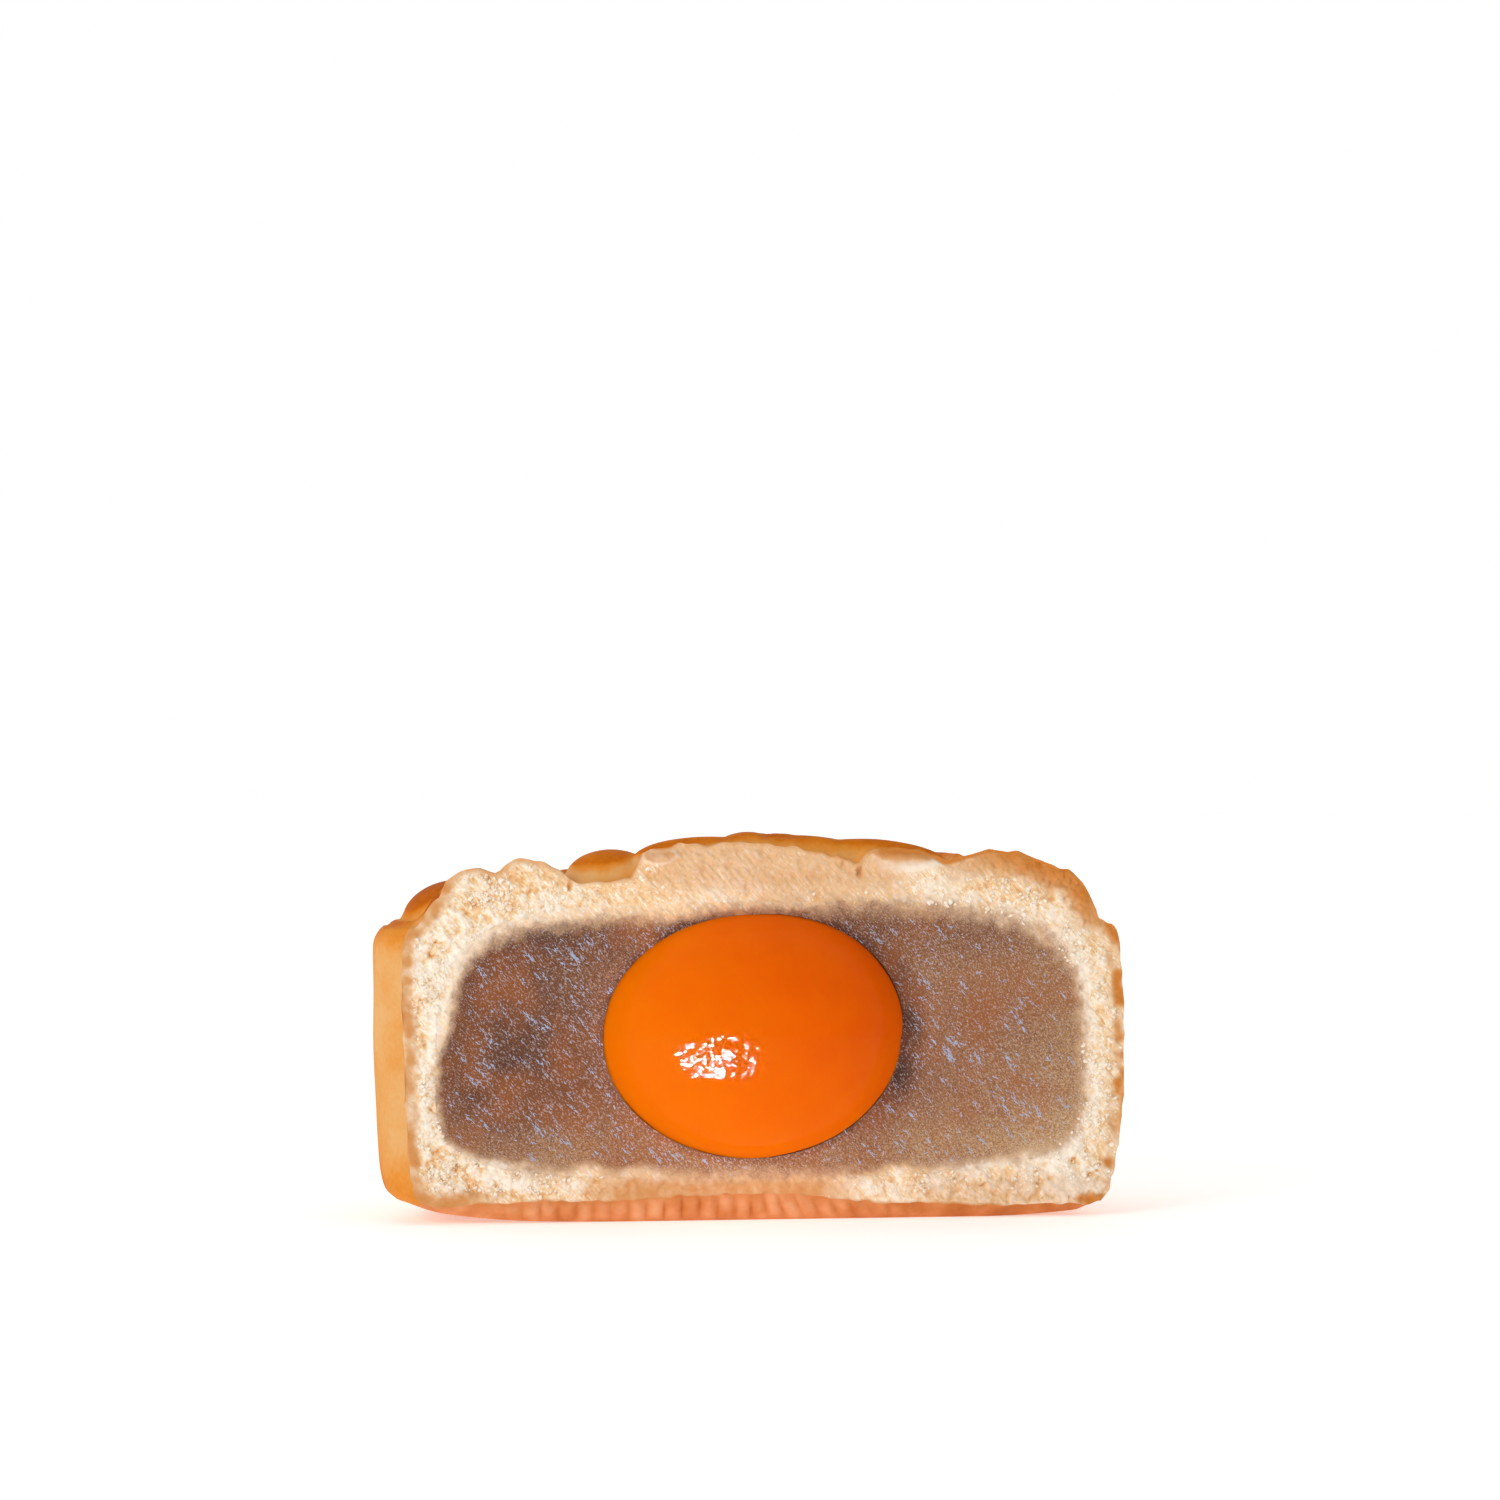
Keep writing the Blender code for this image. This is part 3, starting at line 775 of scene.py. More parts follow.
def paste_colour(tree, place, grit, shade):
    """Grey-brown paste, reddish in places, with fine pale flecks all over, partly painted glints.
    Gives the flecks too.
    """
    grain, warm = (
        add(tree, "ShaderNodeTexNoise", {"Vector": place, "Scale": 1 / (size * MM), "Detail": 2.0})
        for size in (GRAIN_MM, REDDISH_MM)
    )
    tone = shade
    for pattern, weight in ((grit, 0.5), (grain, 0.9)):
        weighed = {0: pattern, 1: weight, 2: tone}
        tone = add(tree, "ShaderNodeMath", weighed, operation="MULTIPLY_ADD")
    tone = add(tree, "ShaderNodeMath", {0: tone, 1: 0.7}, operation="SUBTRACT")
    paste = add(tree, "ShaderNodeValToRGB", {"Fac": tone}, stops=PASTE_RAMP)
    limits = {"From Min": 0.42, "From Max": 0.66, "To Max": 0.65}
    warm = add(tree, "ShaderNodeMapRange", {"Value": warm, **limits})
    fine = flecks(tree, place, FLECK_MM)
    flecks_and_glints = add(tree, "ShaderNodeMath", {0: fine, 1: FLECK_AND_GLINT_COVER}, operation="MULTIPLY")
    for share, colour in ((warm, REDDISH), (flecks_and_glints, FLECK_AND_GLINT_COLOUR)):
        mixed = {0: share, 6: paste, 7: linear(colour)}
        paste = add(tree, "ShaderNodeMix", mixed, out=2, data_type="RGBA")
    return paste, fine


# %% Material: the cut, crumb and paste together


def crumb_and_paste():
    """Dry scattering crumb on one side of the border, moist paste with pale flecks on the other."""
    material, tree, shader = new_material("crumb_and_birds_nest_paste", 0.7, 1.42, 0.12, 0.3)
    place = add(tree, "ShaderNodeTexCoord", out="Object")
    inside, toast, rise, shade = (
        add(tree, "ShaderNodeAttribute", out="Fac", attribute_name=key)
        for key in ("inside", "toast", "rise", "shade")
    )
    lumps, grit = (
        add(
            tree,
            "ShaderNodeTexNoise",
            {"Vector": place, "Scale": 1 / (size * MM), "Detail": detail},
        )
        for size, detail in ((LUMP_MM, 5.0), (GRIT_MM, 3.0))
    )
    crumb = crumb_colour(tree, lumps, grit, flecks(tree, place, DRAGGED_MM), rise, toast)
    paste, fine = paste_colour(tree, place, grit, shade)
    wander = inside
    for pattern, reach in ((lumps, 1.4), (grit, 0.8)):
        weighed = {0: pattern, 1: reach, 2: wander}
        wander = add(tree, "ShaderNodeMath", weighed, operation="MULTIPLY_ADD")
    stained, in_paste = (
        add(tree, "ShaderNodeMapRange", {"Value": wander, **ends}, interpolation_type="SMOOTHSTEP")
        for ends in (
            {"From Min": 0.4, "From Max": 1.4, "To Max": 0.75},
            {"From Min": 0.8, "From Max": 2.0},
        )
    )
    colour = crumb
    for share, over in ((stained, linear(STAIN_COLOUR)), (in_paste, paste)):
        mixed = {0: share, 6: colour, 7: over}
        colour = add(tree, "ShaderNodeMix", mixed, out=2, data_type="RGBA")
    dry = add(tree, "ShaderNodeMapRange", {"Value": in_paste, "To Min": 0.75, "To Max": 0.42})
    height = add(tree, "ShaderNodeMath", {0: fine, 1: 0.5, 2: grit}, operation="MULTIPLY_ADD")
    bump = add(tree, "ShaderNodeBump", {"Height": height, "Strength": 0.5, "Distance": 0.04 * MM})
    feed(tree, shader, {"Base Color": colour, "Roughness": dry, "Normal": bump})
    feed(tree, shader, {"Specular IOR Level": 0.3})
    return material


section = crumb_and_paste()
print("material:", section.name)

# %% [markdown]
# ## The crust
# The crust is one closed skin: the moulded top, the lobed wall, the underside, the broken edge at
# its foot, the cut ring, and the hollow that the paste fills. A square grid would step across the
# creases between the lobes. So every patch runs in the same columns, 32 to each lobe, and the
# creases stay crisp. A line from the cut to the rim gives each column of the top.

# %% Columns and the wall's profile
LOBE_COLUMNS = 32
COLUMNS = round(LOBE_COLUMNS * LOBES_KEPT)
TOP_ROWS = 108
WALL_ROWS = 34
BASE_ROWS = 11
BAND_ROWS = 7
HOLLOW_TURNS = 9
RIM_INSET = 1.05
FOOT_Z, FOOT_INSET = 0.9, 2.3
# Each point of the wall's profile: its height and how far it lies inside the outline.
WALL_PROFILE = (
    (LEDGE_Z, RIM_INSET), (28.9, 0.6), (28.1, 0.18), (27.0, 0.0), (20.0, 0.1),
    (11.5, 0.3), (5.2, 0.75), (3.4, 1.0), (2.0, 1.3), (FOOT_Z, FOOT_INSET),
)
BULGE, BULGE_Z = 0.6, 13.0
BASE_FLAT = 22.0
BASE_LIFT = 1.0
BASE_TILT_FROM = -12.0
BASE_TILT = 0.8


def base_height(x, y):
    """The underside lifts a little towards its rim, most of all at the left end."""
    lift = BASE_LIFT * (np.maximum(0.0, np.hypot(x, y) - BASE_FLAT) / 14.0) ** 2
    return lift + BASE_TILT * (np.maximum(0.0, BASE_TILT_FROM - x) / 24.0) ** 2


def rounded_line(points, passes=3):
    """Cuts the corners off a line again and again, so that it turns smoothly."""
    line = np.array(points, float)
    for _ in range(passes):
        first, second = line[:-1], line[1:]
        cut = np.stack((0.75 * first + 0.25 * second, 0.25 * first + 0.75 * second), axis=1)
        line = np.concatenate((line[:1], cut.reshape(-1, 2)[1:-1], line[-1:]))
    return line


def resampled(line, parameter):
    """Points along a line, at shares of its length from 0 to 1."""
    steps = np.concatenate(([0.0], np.cumsum(np.hypot(*np.diff(line, axis=0).T))))
    at = parameter * steps[-1]
    return np.column_stack((np.interp(at, steps, line[:, 0]), np.interp(at, steps, line[:, 1])))


along = np.linspace(0.0, 1.0, COLUMNS + 1)
angles = -CUT_ANGLE + along * LOBES_KEPT * PITCH
outline = outline_radius(angles)


def across_cut(inset):
    """Evenly spaced x values along the cut, from its right end to its left one."""
    ends = CAKE_X + (outline[[0, -1]] - inset) * np.cos(angles[[0, -1]])
    return ends[0] + (ends[1] - ends[0]) * along


print("columns", COLUMNS + 1, "rim ends at", across_cut(RIM_INSET)[[0, -1]].round(1), "mm")

# %% Top of the crust
BAKE_PALEST, BAKE_BROWNEST = 0.26, 0.84


def torn_edge(x, z):
    """How far the knife's edge wanders, in mm."""
    return 0.34 * (noise(x, z, 0.9, 31) - 0.5) + 0.3 * (noise(x, z, 2.6, 33) - 0.5)


def uneven_lip(x, y, z):
    """How far the edge of the cut steps back or forward, in mm. It fades out behind the cut."""
    return 0.42 * (noise(x, z, 0.8, 35) - 0.5) * ramp(y - CUT_Y, 0.8, 0.0)


def top_patch():
    """The moulded top, from the cut to the rim. It is browner on ridges and at the far left."""
    t = spread(0.0, 1.0, TOP_ROWS + 1, dense_start=2.0, dense_end=0.6)[:, None]
    rim = outline - RIM_INSET
    rim_x, rim_y = CAKE_X + rim * np.cos(angles), np.maximum(rim * np.sin(angles), CUT_Y)
    rim_y[[0, -1]] = CUT_Y
    x = (1.0 - t) * across_cut(RIM_INSET) + t * rim_x
    y = (1.0 - t) * CUT_Y + t * rim_y
    plain = softened(x, y)
    cut = section_edge(x)
    near = ramp(y - CUT_Y, SECTION_BLEND, 0.0) * (cut > 0.0)
    z = plain * (1.0 - near) + cut * near
    z = z + torn_edge(x, 0.0 * x) * ramp(y - CUT_Y, 1.4, 0.0) * ramp(t, 1.0, 0.8)
    z = z + 0.12 * (noise(x, y, 3.2, 41) - 0.5) * ramp(t, 1.0, 0.9)
    z[-1], z[:, 0], z[:, -1] = LEDGE_Z, LEDGE_Z, LEDGE_Z
    sharp = np.clip((plain - ring_mean(softened, x, y, 1.2)) / 0.4, -1.0, 1.0)
    swollen = np.clip((plain - ring_mean(motif, x, y, 3.4)) / 1.8, -1.0, 1.0)
    steep = np.hypot(motif(x - 0.4, y) - motif(x + 0.4, y), motif(x, y - 0.4) - motif(x, y + 0.4))
    browner = ramp(x, -23.0, -27.0)
    bake = 0.58 + 0.2 * sharp + 0.2 * swollen
    bake = bake - (0.26 - 0.2 * browner) * ramp(steep, 0.5, 1.4) + 0.25 * browner
    bake = np.minimum(bake + 0.18 * ramp(z, 36.0, 37.5), 0.72 + 0.2 * browner)
    lip = 0.46 + 0.2 * ramp(x, 8.0, 20.0)
    bake = np.clip(bake, BAKE_PALEST, BAKE_BROWNEST) * (1.0 - near) + lip * near
    return np.stack((x, y, z), axis=-1), {"bake": bake}


top_points, top_values = top_patch()
print("top", top_points.shape[:2], "highest", round(float(top_points[..., 2].max()), 2), "mm")

# %% Wall, underside and the broken edge at the foot


def wall_patch():
    """The lobed wall, a little swollen, which bulges where the cut ends at the right."""
    line = resampled(rounded_line(WALL_PROFILE), spread(0.0, 1.0, WALL_ROWS + 1, 1.5, 0.8))
    level, inset = line[:, :1], line[:, 1:]
    radius = outline - inset
    x, y = CAKE_X + radius * np.cos(angles), np.maximum(radius * np.sin(angles), CUT_Y)
    swell = 0.25 * (noise(37.0 * angles + 0.0 * level, level, 6.0, 43) - 0.5)
    fade = ramp(level, LEDGE_Z, 27.5) * ramp(level, FOOT_Z, 3.0)
    x, y = x + swell * fade * np.cos(angles), np.maximum(y + swell * fade * np.sin(angles), CUT_Y)
    bulge = BULGE * ridge(level - BULGE_Z, BULGE_Z)
    x = x + bulge * ramp(x, 31.0, 36.0) * ramp(y - CUT_Y, 6.0, 1.0)
    ends = ramp(np.minimum(along, 1.0 - along) * COLUMNS, 5.0, 0.0) * fade
    x = x - np.sign(x) * (0.15 + torn_edge(level + 0.0 * x, 0.0 * x)) * ends
    y[:, [0, -1]] = CUT_Y
    z = level + base_height(x, y) * np.exp(-level / 3.0) * ramp(level, LEDGE_Z, 20.0)
    crest = ramp(np.abs(lobe_angle(angles)), 0.25 * PITCH, 0.0)
    bake = 0.34 + 0.2 * ramp(level, 25.5, 29.0) + 0.22 * ramp(level, 9.0, 1.5) + 0.13 * crest
    bake = bake + 0.3 * ramp(x, 33.5, 36.5)
    return np.stack((x, y, z), axis=-1), {"bake": bake}


def base_patch(foot):
    """The underside, and how far it stands back from the cut in each column, from 0 to 1."""
    t = spread(0.0, 1.0, BASE_ROWS + 1, 1.2)[:, None]
    taper = ramp(np.minimum(along, 1.0 - along), 0.0, 0.035)
    x = (1.0 - t) * foot[:, 0] + t * across_cut(FOOT_INSET)
    y = (1.0 - t) * foot[:, 1] + t * (CUT_Y + 1.2 * taper)
    rim = outline_radius(direction(x - CAKE_X, y)) - FOOT_INSET
    inward = np.maximum(rim - np.hypot(x - CAKE_X, y), 0.0)
    edge = 1.0 - taper + taper * np.clip(1.0 - inward / 3.0, 0.0, 1.0) ** 2 * (1.0 - t**4)
    plain = base_height(x, y)
    edge[0] = 1.0
    z = plain + (foot[:, 2] - plain) * edge
    return np.stack((x, y, z), axis=-1), taper


# Where the band along the foot of the cut ends: x and height.
BAND_TOP = (
    (-36.0, 1.9), (-28.9, 1.95), (-24.8, 2.15), (-12.0, 2.3), (-5.3, 2.65),
    (2.8, 2.6), (6.8, 2.15), (11.2, 1.65), (23.9, 1.25), (34.0, 1.3),
)
RIB_PITCH = 1.77


def band_patch(front, taper):
    """The chipped corner along the foot of the cut, where the base skin shows its fine ribs."""
    v = np.linspace(0.0, 1.0, BAND_ROWS + 1)[:, None]
    x, z0 = front[:, 0], front[:, 2]
    z1 = z0 + taper * (np.interp(x, *zip(*BAND_TOP)) - z0 + 0.8 * torn_edge(x, 0.0 * x))
    y = front[:, 1] * (1.0 - v) + CUT_Y * v
    z = z0 * (1.0 - v) + z1 * v
    slant = x + 0.5 * (z - z0) * ramp(x, -3.0, 3.0)
    rib = np.abs(np.cos(math.pi * slant / RIB_PITCH)) ** 0.6
    clear = ramp(x, 24.0, -2.0) * ramp(x, -28.0, -21.0)
    swell = (0.1 + 0.42 * rib * clear) * np.sin(math.pi * v) ** 0.6 * taper
    # Painted light: rib crests are painted pale as a highlight and the grooves dark as shade. The
    # band also darkens towards the right.
    pale = 0.14 + (0.75 * rib - 0.5) * clear * np.sin(math.pi * v) - 0.36 * ramp(x, 0.0, 26.0)
    return np.stack((x + 0.0 * v, y - swell, z), axis=-1), {"pale": pale}


wall_points, wall_values = wall_patch()
wall_points[0] = top_points[-1]
base_points, foot_taper = base_patch(wall_points[-1])
band_points, band_values = band_patch(base_points[-1], foot_taper)
for grid in (top_points, wall_points, base_points, band_points):
    grid[..., 1] += uneven_lip(*np.moveaxis(grid, -1, 0))
print("wall", wall_points.shape[:2], "underside", base_points.shape[:2])

# %% [markdown]
# The ring of the cut lies between two loops: the front row of every patch above, and the paste's
# section. A grid would crowd its points in some places and stretch them in others. Even triangles
# keep the broken crumb as fine at the sides as along the top. The inner loop is alike on both
# sides, so a hollow for the paste can be turned from its right half to its left half.

# %% Loops and triangles in the cut
LOOK_Z = 17.0
HOLLOW_POINTS = 560
CRUMB_STEP = 0.15
CUT_REACH, CUT_FOOT, CUT_HEAD = 37.5, 0.3, 39.0


def finer(line, parts=6):
    """A closed line with extra points between its own."""
    share = np.arange(parts)[:, None] / parts
    after = np.roll(line, -1, axis=0)
    return (line[:, None] * (1.0 - share) + after[:, None] * share).reshape(-1, 2)


def distance_to(points, line, chunk=2000):
    """The distance from each point to the nearest point of a line, in the cut plane."""
    flat = points.reshape(-1, 2)
    parts = [
        np.sqrt(((flat[k : k + chunk, None] - line[None]) ** 2).sum(axis=-1)).min(axis=1)
        for k in range(0, len(flat), chunk)
    ]
    return np.concatenate(parts).reshape(points.shape[:-1])


def within(points, loop, chunk=4000):
    """Whether points lie in a closed loop: a line to the right then crosses it an odd number
    of times."""
    start, end = loop, np.roll(loop, -1, axis=0)
    climb = np.where(end[:, 1] == start[:, 1], 1e9, end[:, 1] - start[:, 1])
    slope = (end[:, 0] - start[:, 0]) / climb
    odd = []
    for k in range(0, len(points), chunk):
        x, z = points[k : k + chunk, :1], points[k : k + chunk, 1:]
        spans = (start[:, 1] > z) != (end[:, 1] > z)
        odd.append((spans & (start[:, 0] + (z - start[:, 1]) * slope > x)).sum(axis=1) % 2 == 1)
    return np.concatenate(odd)


def triangles_between(outer, inner):
    """Even triangles between two loops: points, faces and where each point came from."""
    rows, columns = np.mgrid[
        CUT_FOOT : CUT_HEAD : 0.866 * CRUMB_STEP, -CUT_REACH : CUT_REACH : CRUMB_STEP
    ]
    columns = columns + 0.5 * CRUMB_STEP * (np.arange(len(rows))[:, None] % 2)
    wobble = 0.18 * CRUMB_STEP
    x = columns + wobble * (noise(9.0 * columns, 9.0 * rows, 1.0, 101) - 0.5)
    z = rows + wobble * (noise(9.0 * rows, 9.0 * columns, 1.0, 103) - 0.5)
    free = np.column_stack((x.ravel(), z.ravel()))
    free = free[within(free, outer) & ~within(free, inner)]
    free = free[distance_to(free, np.concatenate((finer(outer), inner))) > 0.5 * CRUMB_STEP]
    flat = np.concatenate((outer, inner, free))
    edges = [(k, (k + 1) % len(outer)) for k in range(len(outer))]
    edges += [(len(outer) + k, len(outer) + (k + 1) % len(inner)) for k in range(len(inner))]
    made = delaunay_2d_cdt([Vector(point) for point in flat.tolist()], edges, [], 1, 1e-6)
    source = np.array([known[0] for known in made[3]])
    on_inner = (source >= len(outer)) & (source < len(outer) + len(inner))
    faces = [face for face in made[2] if not all(on_inner[corner] for corner in face)]
    return flat[source], faces, source


def turned_form(loop):
    """The surface turned round the axis, from the right half of a loop to its left half."""
    steps = np.arange(len(loop) // 2 + 1)
    right, left = loop[-steps], loop[steps]
    radius = np.hypot(right[:, 0], right[:, 1])[:, None]
    start = np.arctan2(right[:, 1], np.maximum(right[:, 0], 0.0))[:, None]
    turn = start + (math.pi - 2.0 * start) * np.linspace(0.0, 1.0, HOLLOW_TURNS + 1)
    height = right[:, 2:] + 0.0 * turn
    grid = np.stack((radius * np.cos(turn), radius * np.sin(turn), height), axis=-1)
    grid[:, 0], grid[:, -1] = right, left
    return grid


paste_border = section_points(np.linspace(0.0, 2.0 * math.pi, 1500), LOOK_Z)
print("inside the paste:", within(np.array([[0.0, 15.0], [0.0, 36.0]]), paste_border))

# %% Ring of the cut and the hollow behind it


def toasted(x, z, depth):
    """How brown the crumb is at each place. depth is millimetres in from the skin."""
    torn = noise(x, z, 0.9, 63)
    puff = patch(x, z, SMOOTH_PUFF)
    upper_right = ramp(x, 12.0, 27.0) * ramp(z, 25.0, 32.0)
    lower_left = ramp(x, -23.0, -31.0) * ramp(z, 7.0, 3.0)
    rim = (0.2 + 0.6 * noise(x, z, 1.6, 61)) * (1.0 - 0.6 * ramp(x, -28.0, -31.0))
    rim = rim * ramp(x, 34.0, 20.0)
    line = (0.18 + 0.4 * ramp(x, 8.0, 20.0)) * ramp(depth, 0.7, 0.1)
    line = (0.3 + line) * (1.0 - 0.8 * ridge(x + 16.0, 4.5))
    zones = {
        "all along the skin": rim * ramp(depth, 0.5, 0.0),
        "upper right corner": 0.8 * ramp(depth, 4.2, 0.5) * upper_right,
        "right side": (0.1 + 0.95 * torn) * ramp(depth, 2.2, 0.3) * ramp(x, 29.0, 34.0),
        "top edge": line * ramp(depth, 1.4, 0.3) * ramp(z, 32.0, 34.0),
        "middle of the top": 0.4 * ramp(z, 30.5, 34.0) * ramp(np.abs(x - 2.0), 17.0, 10.0),
        "torn flake": 0.5 * patch(x, z, TORN_FLAKE),
        "middle of the foot": 0.54 * ramp(z, 6.5, 3.4) * ramp(np.abs(x + 4.0), 17.0, 9.0),
        "right of the foot": 0.3 * ramp(z, 6.0, 3.0) * ramp(x, 12.0, 18.0),
        "left side": (0.35 + 0.35 * torn) * ramp(depth, 2.0, 0.5) * ramp(x, -28.0, -32.0),
        "lower left corner": 0.62 * ramp(depth, 2.6, 0.3) * lower_left,
        "smooth puff": puff * (0.3 + 0.55 * ramp(z, 35.0, 37.0)),
    }
    return np.maximum.reduce(list(zones.values()))


def section_values(x, z, inside, depth, relief):
    """The point values that the section's material reads."""
    pale = 0.16 * ramp(inside, -2.6, -0.8) * ramp(np.abs(x), 14.0, 24.0)
    drifts = 0.6 * noise(x, z, 2.6, 57) + 0.4 * noise(x, z, 1.1, 58)
    pale = pale + 0.26 * ramp(drifts, 0.5, 0.7) * ramp(z, 9.0, 5.0) * ramp(depth, 0.6, 1.6)
    shade = 0.45 + 0.22 * ramp(z, 14.0, 5.0) - 0.34 * ramp(x, -12.0, -30.0) * ramp(z, 5.0, 15.0)
    shade = shade + 0.08 * ramp(x, 6.0, 20.0) + 0.14 * ramp(x, 21.0, 30.0)
    shade = shade - 0.1 * ramp(z, 24.0, 28.0) + 0.12 * (noise(x, z, 6.0, 51) - 0.5)
    soft = 1.0 + 1.3 * ramp(z, 24.0, 29.0) + 0.4 * ramp(x, 22.0, 30.0) + 0.6 * ramp(z, 8.0, 4.0)
    # "rise" carries the relief into the colour: a painted highlight on the lumps, painted shade in
    # the pits.
    return {
        "inside": (inside - crumbs_over(x, z)) / soft,
        "toast": toasted(x, z, depth),
        "rise": np.clip(relief * 0.9, -0.5, 0.4) + pale,
        "shade": shade,
    }


def cut_ring():
    """The broken crumb between the skin and the paste. Gives the inner loop too."""
    left_side, right_side = wall_points[1:-1, -1], wall_points[-2:0:-1, 0]
    outer = np.concatenate((top_points[0], left_side, band_points[-1, ::-1], right_side))
    inner = section_points((0.5 + np.arange(HOLLOW_POINTS) * 2.0 / HOLLOW_POINTS) * math.pi, LOOK_Z)
    flat, faces, source = triangles_between(outer[:, [0, 2]], inner)
    depth = distance_to(flat, finer(outer[:, [0, 2]]))
    inside = -distance_to(flat, paste_border)
    on_outer = source < len(outer)
    on_inner = ~on_outer & (source < len(outer) + len(inner))
    inside[on_inner] = 0.0
    relief = cut_relief(flat[:, 0], flat[:, 1], inside)
    smooth_strip = 0.35 + 0.5 * ramp(flat[:, 0], 24.0, 16.0) + 0.5 * ramp(flat[:, 0], -28.0, -31.0)
    y = CUT_Y - relief * ramp(depth, 0.3 * smooth_strip, smooth_strip)
    y[on_outer] = outer[source[on_outer], 1]
    points = np.column_stack((flat[:, 0], y, flat[:, 1]))
    loop = np.zeros((len(inner), 3))
    loop[source[on_inner] - len(outer)] = points[on_inner]
    return points, faces, section_values(flat[:, 0], flat[:, 1], inside, depth, relief), loop


ring_points, ring_faces, ring_values, ring_inner = cut_ring()
hollow_points = turned_form(ring_inner)
print("ring", len(ring_faces), "triangles, hollow", hollow_points.shape[:2])

# %% The crust in one mesh
crust = closed_mesh(
    "baked_crust",
    [
        (*sheet(top_points), 0, top_values),
        (*sheet(wall_points), 0, wall_values),
        (*sheet(base_points), 1, {}),
        (*sheet(band_points), 1, band_values),
        (ring_points, ring_faces, 2, ring_values),
        (*sheet(hollow_points), 2, {"inside": -3.0}),
    ],
    (glaze, base_skin, section),
    caps=((hollow_points[0], 2), (hollow_points[-1], 2)),
)
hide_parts("crust")

# %% [markdown]
# ## The paste
# The front of the paste runs from its border with the crumb to the yolk, where the knife has
# pressed it in a little. A flat face with a bump would look printed, so the front has its own fine
# relief. Behind the cut the paste is the turned form, and the yolk sits in a socket.

# %% The bird's nest paste
PASTE_COLUMNS = 720
PASTE_ROWS = 60
SOCKET_ROWS, SOCKET_STEP = 6, 1.2
YOLK_FULLER = 0.05
yolk_x, yolk_y, yolk_z = YOLK_CENTRE
yolk_wide, yolk_deep, yolk_high = YOLK_AXES


def fuller(turns):
    """The yolk is a little fuller at its upper right."""
    return 1.0 + YOLK_FULLER * ridge(np.mod(turns, 2.0 * math.pi) - 0.75, 0.8)


def yolk_section(turns, y, grow):
    """The yolk's outline at one depth behind or in front of its middle."""
    shrink = math.sqrt(max(0.0, 1.0 - ((y - yolk_y) / yolk_deep) ** 2)) * fuller(turns)
    x = yolk_x + (yolk_wide * shrink + grow) * np.cos(turns)
    return x, yolk_z + (yolk_high * shrink + grow) * np.sin(turns)


def paste_front():
    """The face of the paste in the cut, from its border to the yolk: points, values, directions."""
    turns = 0.5 * math.pi + np.linspace(0.0, 2.0 * math.pi, PASTE_COLUMNS + 1)
    outer = section_points(turns, yolk_z)
    outer[-1] = outer[0]
    inner = np.column_stack(yolk_section(turns, CUT_Y, 0.03))
    s = spread(0.0, 1.0, PASTE_ROWS + 1, 1.2, 0.8)[:, None, None]
    flat = (1.0 - s) * outer + s * inner
    flat[:, -1] = flat[:, 0]
    inside = distance_to(flat, paste_border)
    inside[0] = 0.0
    from_yolk = distance_to(flat, inner)
    relief = cut_relief(flat[..., 0], flat[..., 1], inside)
    y = CUT_Y - relief + 0.15 * ramp(from_yolk, 0.7, 0.0)
    grid = np.stack((flat[..., 0], y, flat[..., 1]), axis=-1)
    values = section_values(flat[..., 0], flat[..., 1], inside, 20.0 + 0.0 * inside, 0.0 * relief)
    # Painted shade on the paste: a dark rim right round the yolk, and a wider painted shadow to its
    # right, below its top.
    yolk_shadow_side = ramp(flat[..., 0], 2.0, 10.0) * ramp(flat[..., 1], 8.0, 14.0)
    yolk_shadow_side = yolk_shadow_side * ramp(flat[..., 1], 29.0, 25.0)
    values["shade"] = values["shade"] - 0.3 * ramp(from_yolk, 0.9, 0.0)
    values["shade"] = values["shade"] - 0.5 * yolk_shadow_side * ramp(from_yolk, 3.2, 0.2)
    return grid, values, turns


def socket_patch(front, turns):
    """The rim of the socket that the yolk sits in, from the face of the paste inwards."""
    rows = []
    for k in range(1, SOCKET_ROWS + 1):
        y = CUT_Y + 0.8 + SOCKET_STEP * k
        x, z = yolk_section(turns, y, 0.12)
        rows.append(np.column_stack((x, y + 0.0 * x, z)))
        rows[-1][-1] = rows[-1][0]
    return np.concatenate((front[-1:], np.array(rows)))


front_points, front_values, paste_turns = paste_front()
socket_points = socket_patch(front_points, paste_turns)
back_points = turned_form(front_points[0, :-1])
deep = {"inside": 5.0, "shade": 0.3}
paste = closed_mesh(
    "paste_filling",
    [
        (*sheet(front_points), 0, front_values),
        (*sheet(socket_points), 0, deep),
        (*sheet(back_points), 0, deep),
    ],
    (section,),
    caps=((socket_points[-1], 0), (back_points[0], 0), (back_points[-1], 0)),
)
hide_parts("filling")

# %% [markdown]
# ## Loose crumbs
# The knife leaves loose crumbs a tenth to half a millimetre across on the crumb, thick where it
# broke up most. Particles could scatter them, but an export would lose those. So they are copies of
# one small rough lump, turned, stretched and half sunk into the surface, all in one mesh. Each
# one's place is drawn from the points of the cut ring, with more chance where the crumb is loose.

# %% Crumbs on the cut
CRUMB_COUNT = 3000
chance = np.random.default_rng(11)


def rough_lump():
    """A twenty-sided lump with its corners pushed in and out."""
    shape = bmesh.new()
    bmesh.ops.create_icosphere(shape, subdivisions=1, radius=1.0)
    points = np.array([corner.co[:] for corner in shape.verts])
    faces = np.array([[corner.index for corner in face.verts] for face in shape.faces])
    shape.free()
    return points * chance.uniform(0.55, 1.3, (len(points), 1)), faces


def any_turn(count):
    """Random turning matrices."""
    turned, _ = np.linalg.qr(chance.normal(size=(count, 3, 3)))
    return turned * np.sign(np.linalg.det(turned))[:, None, None]


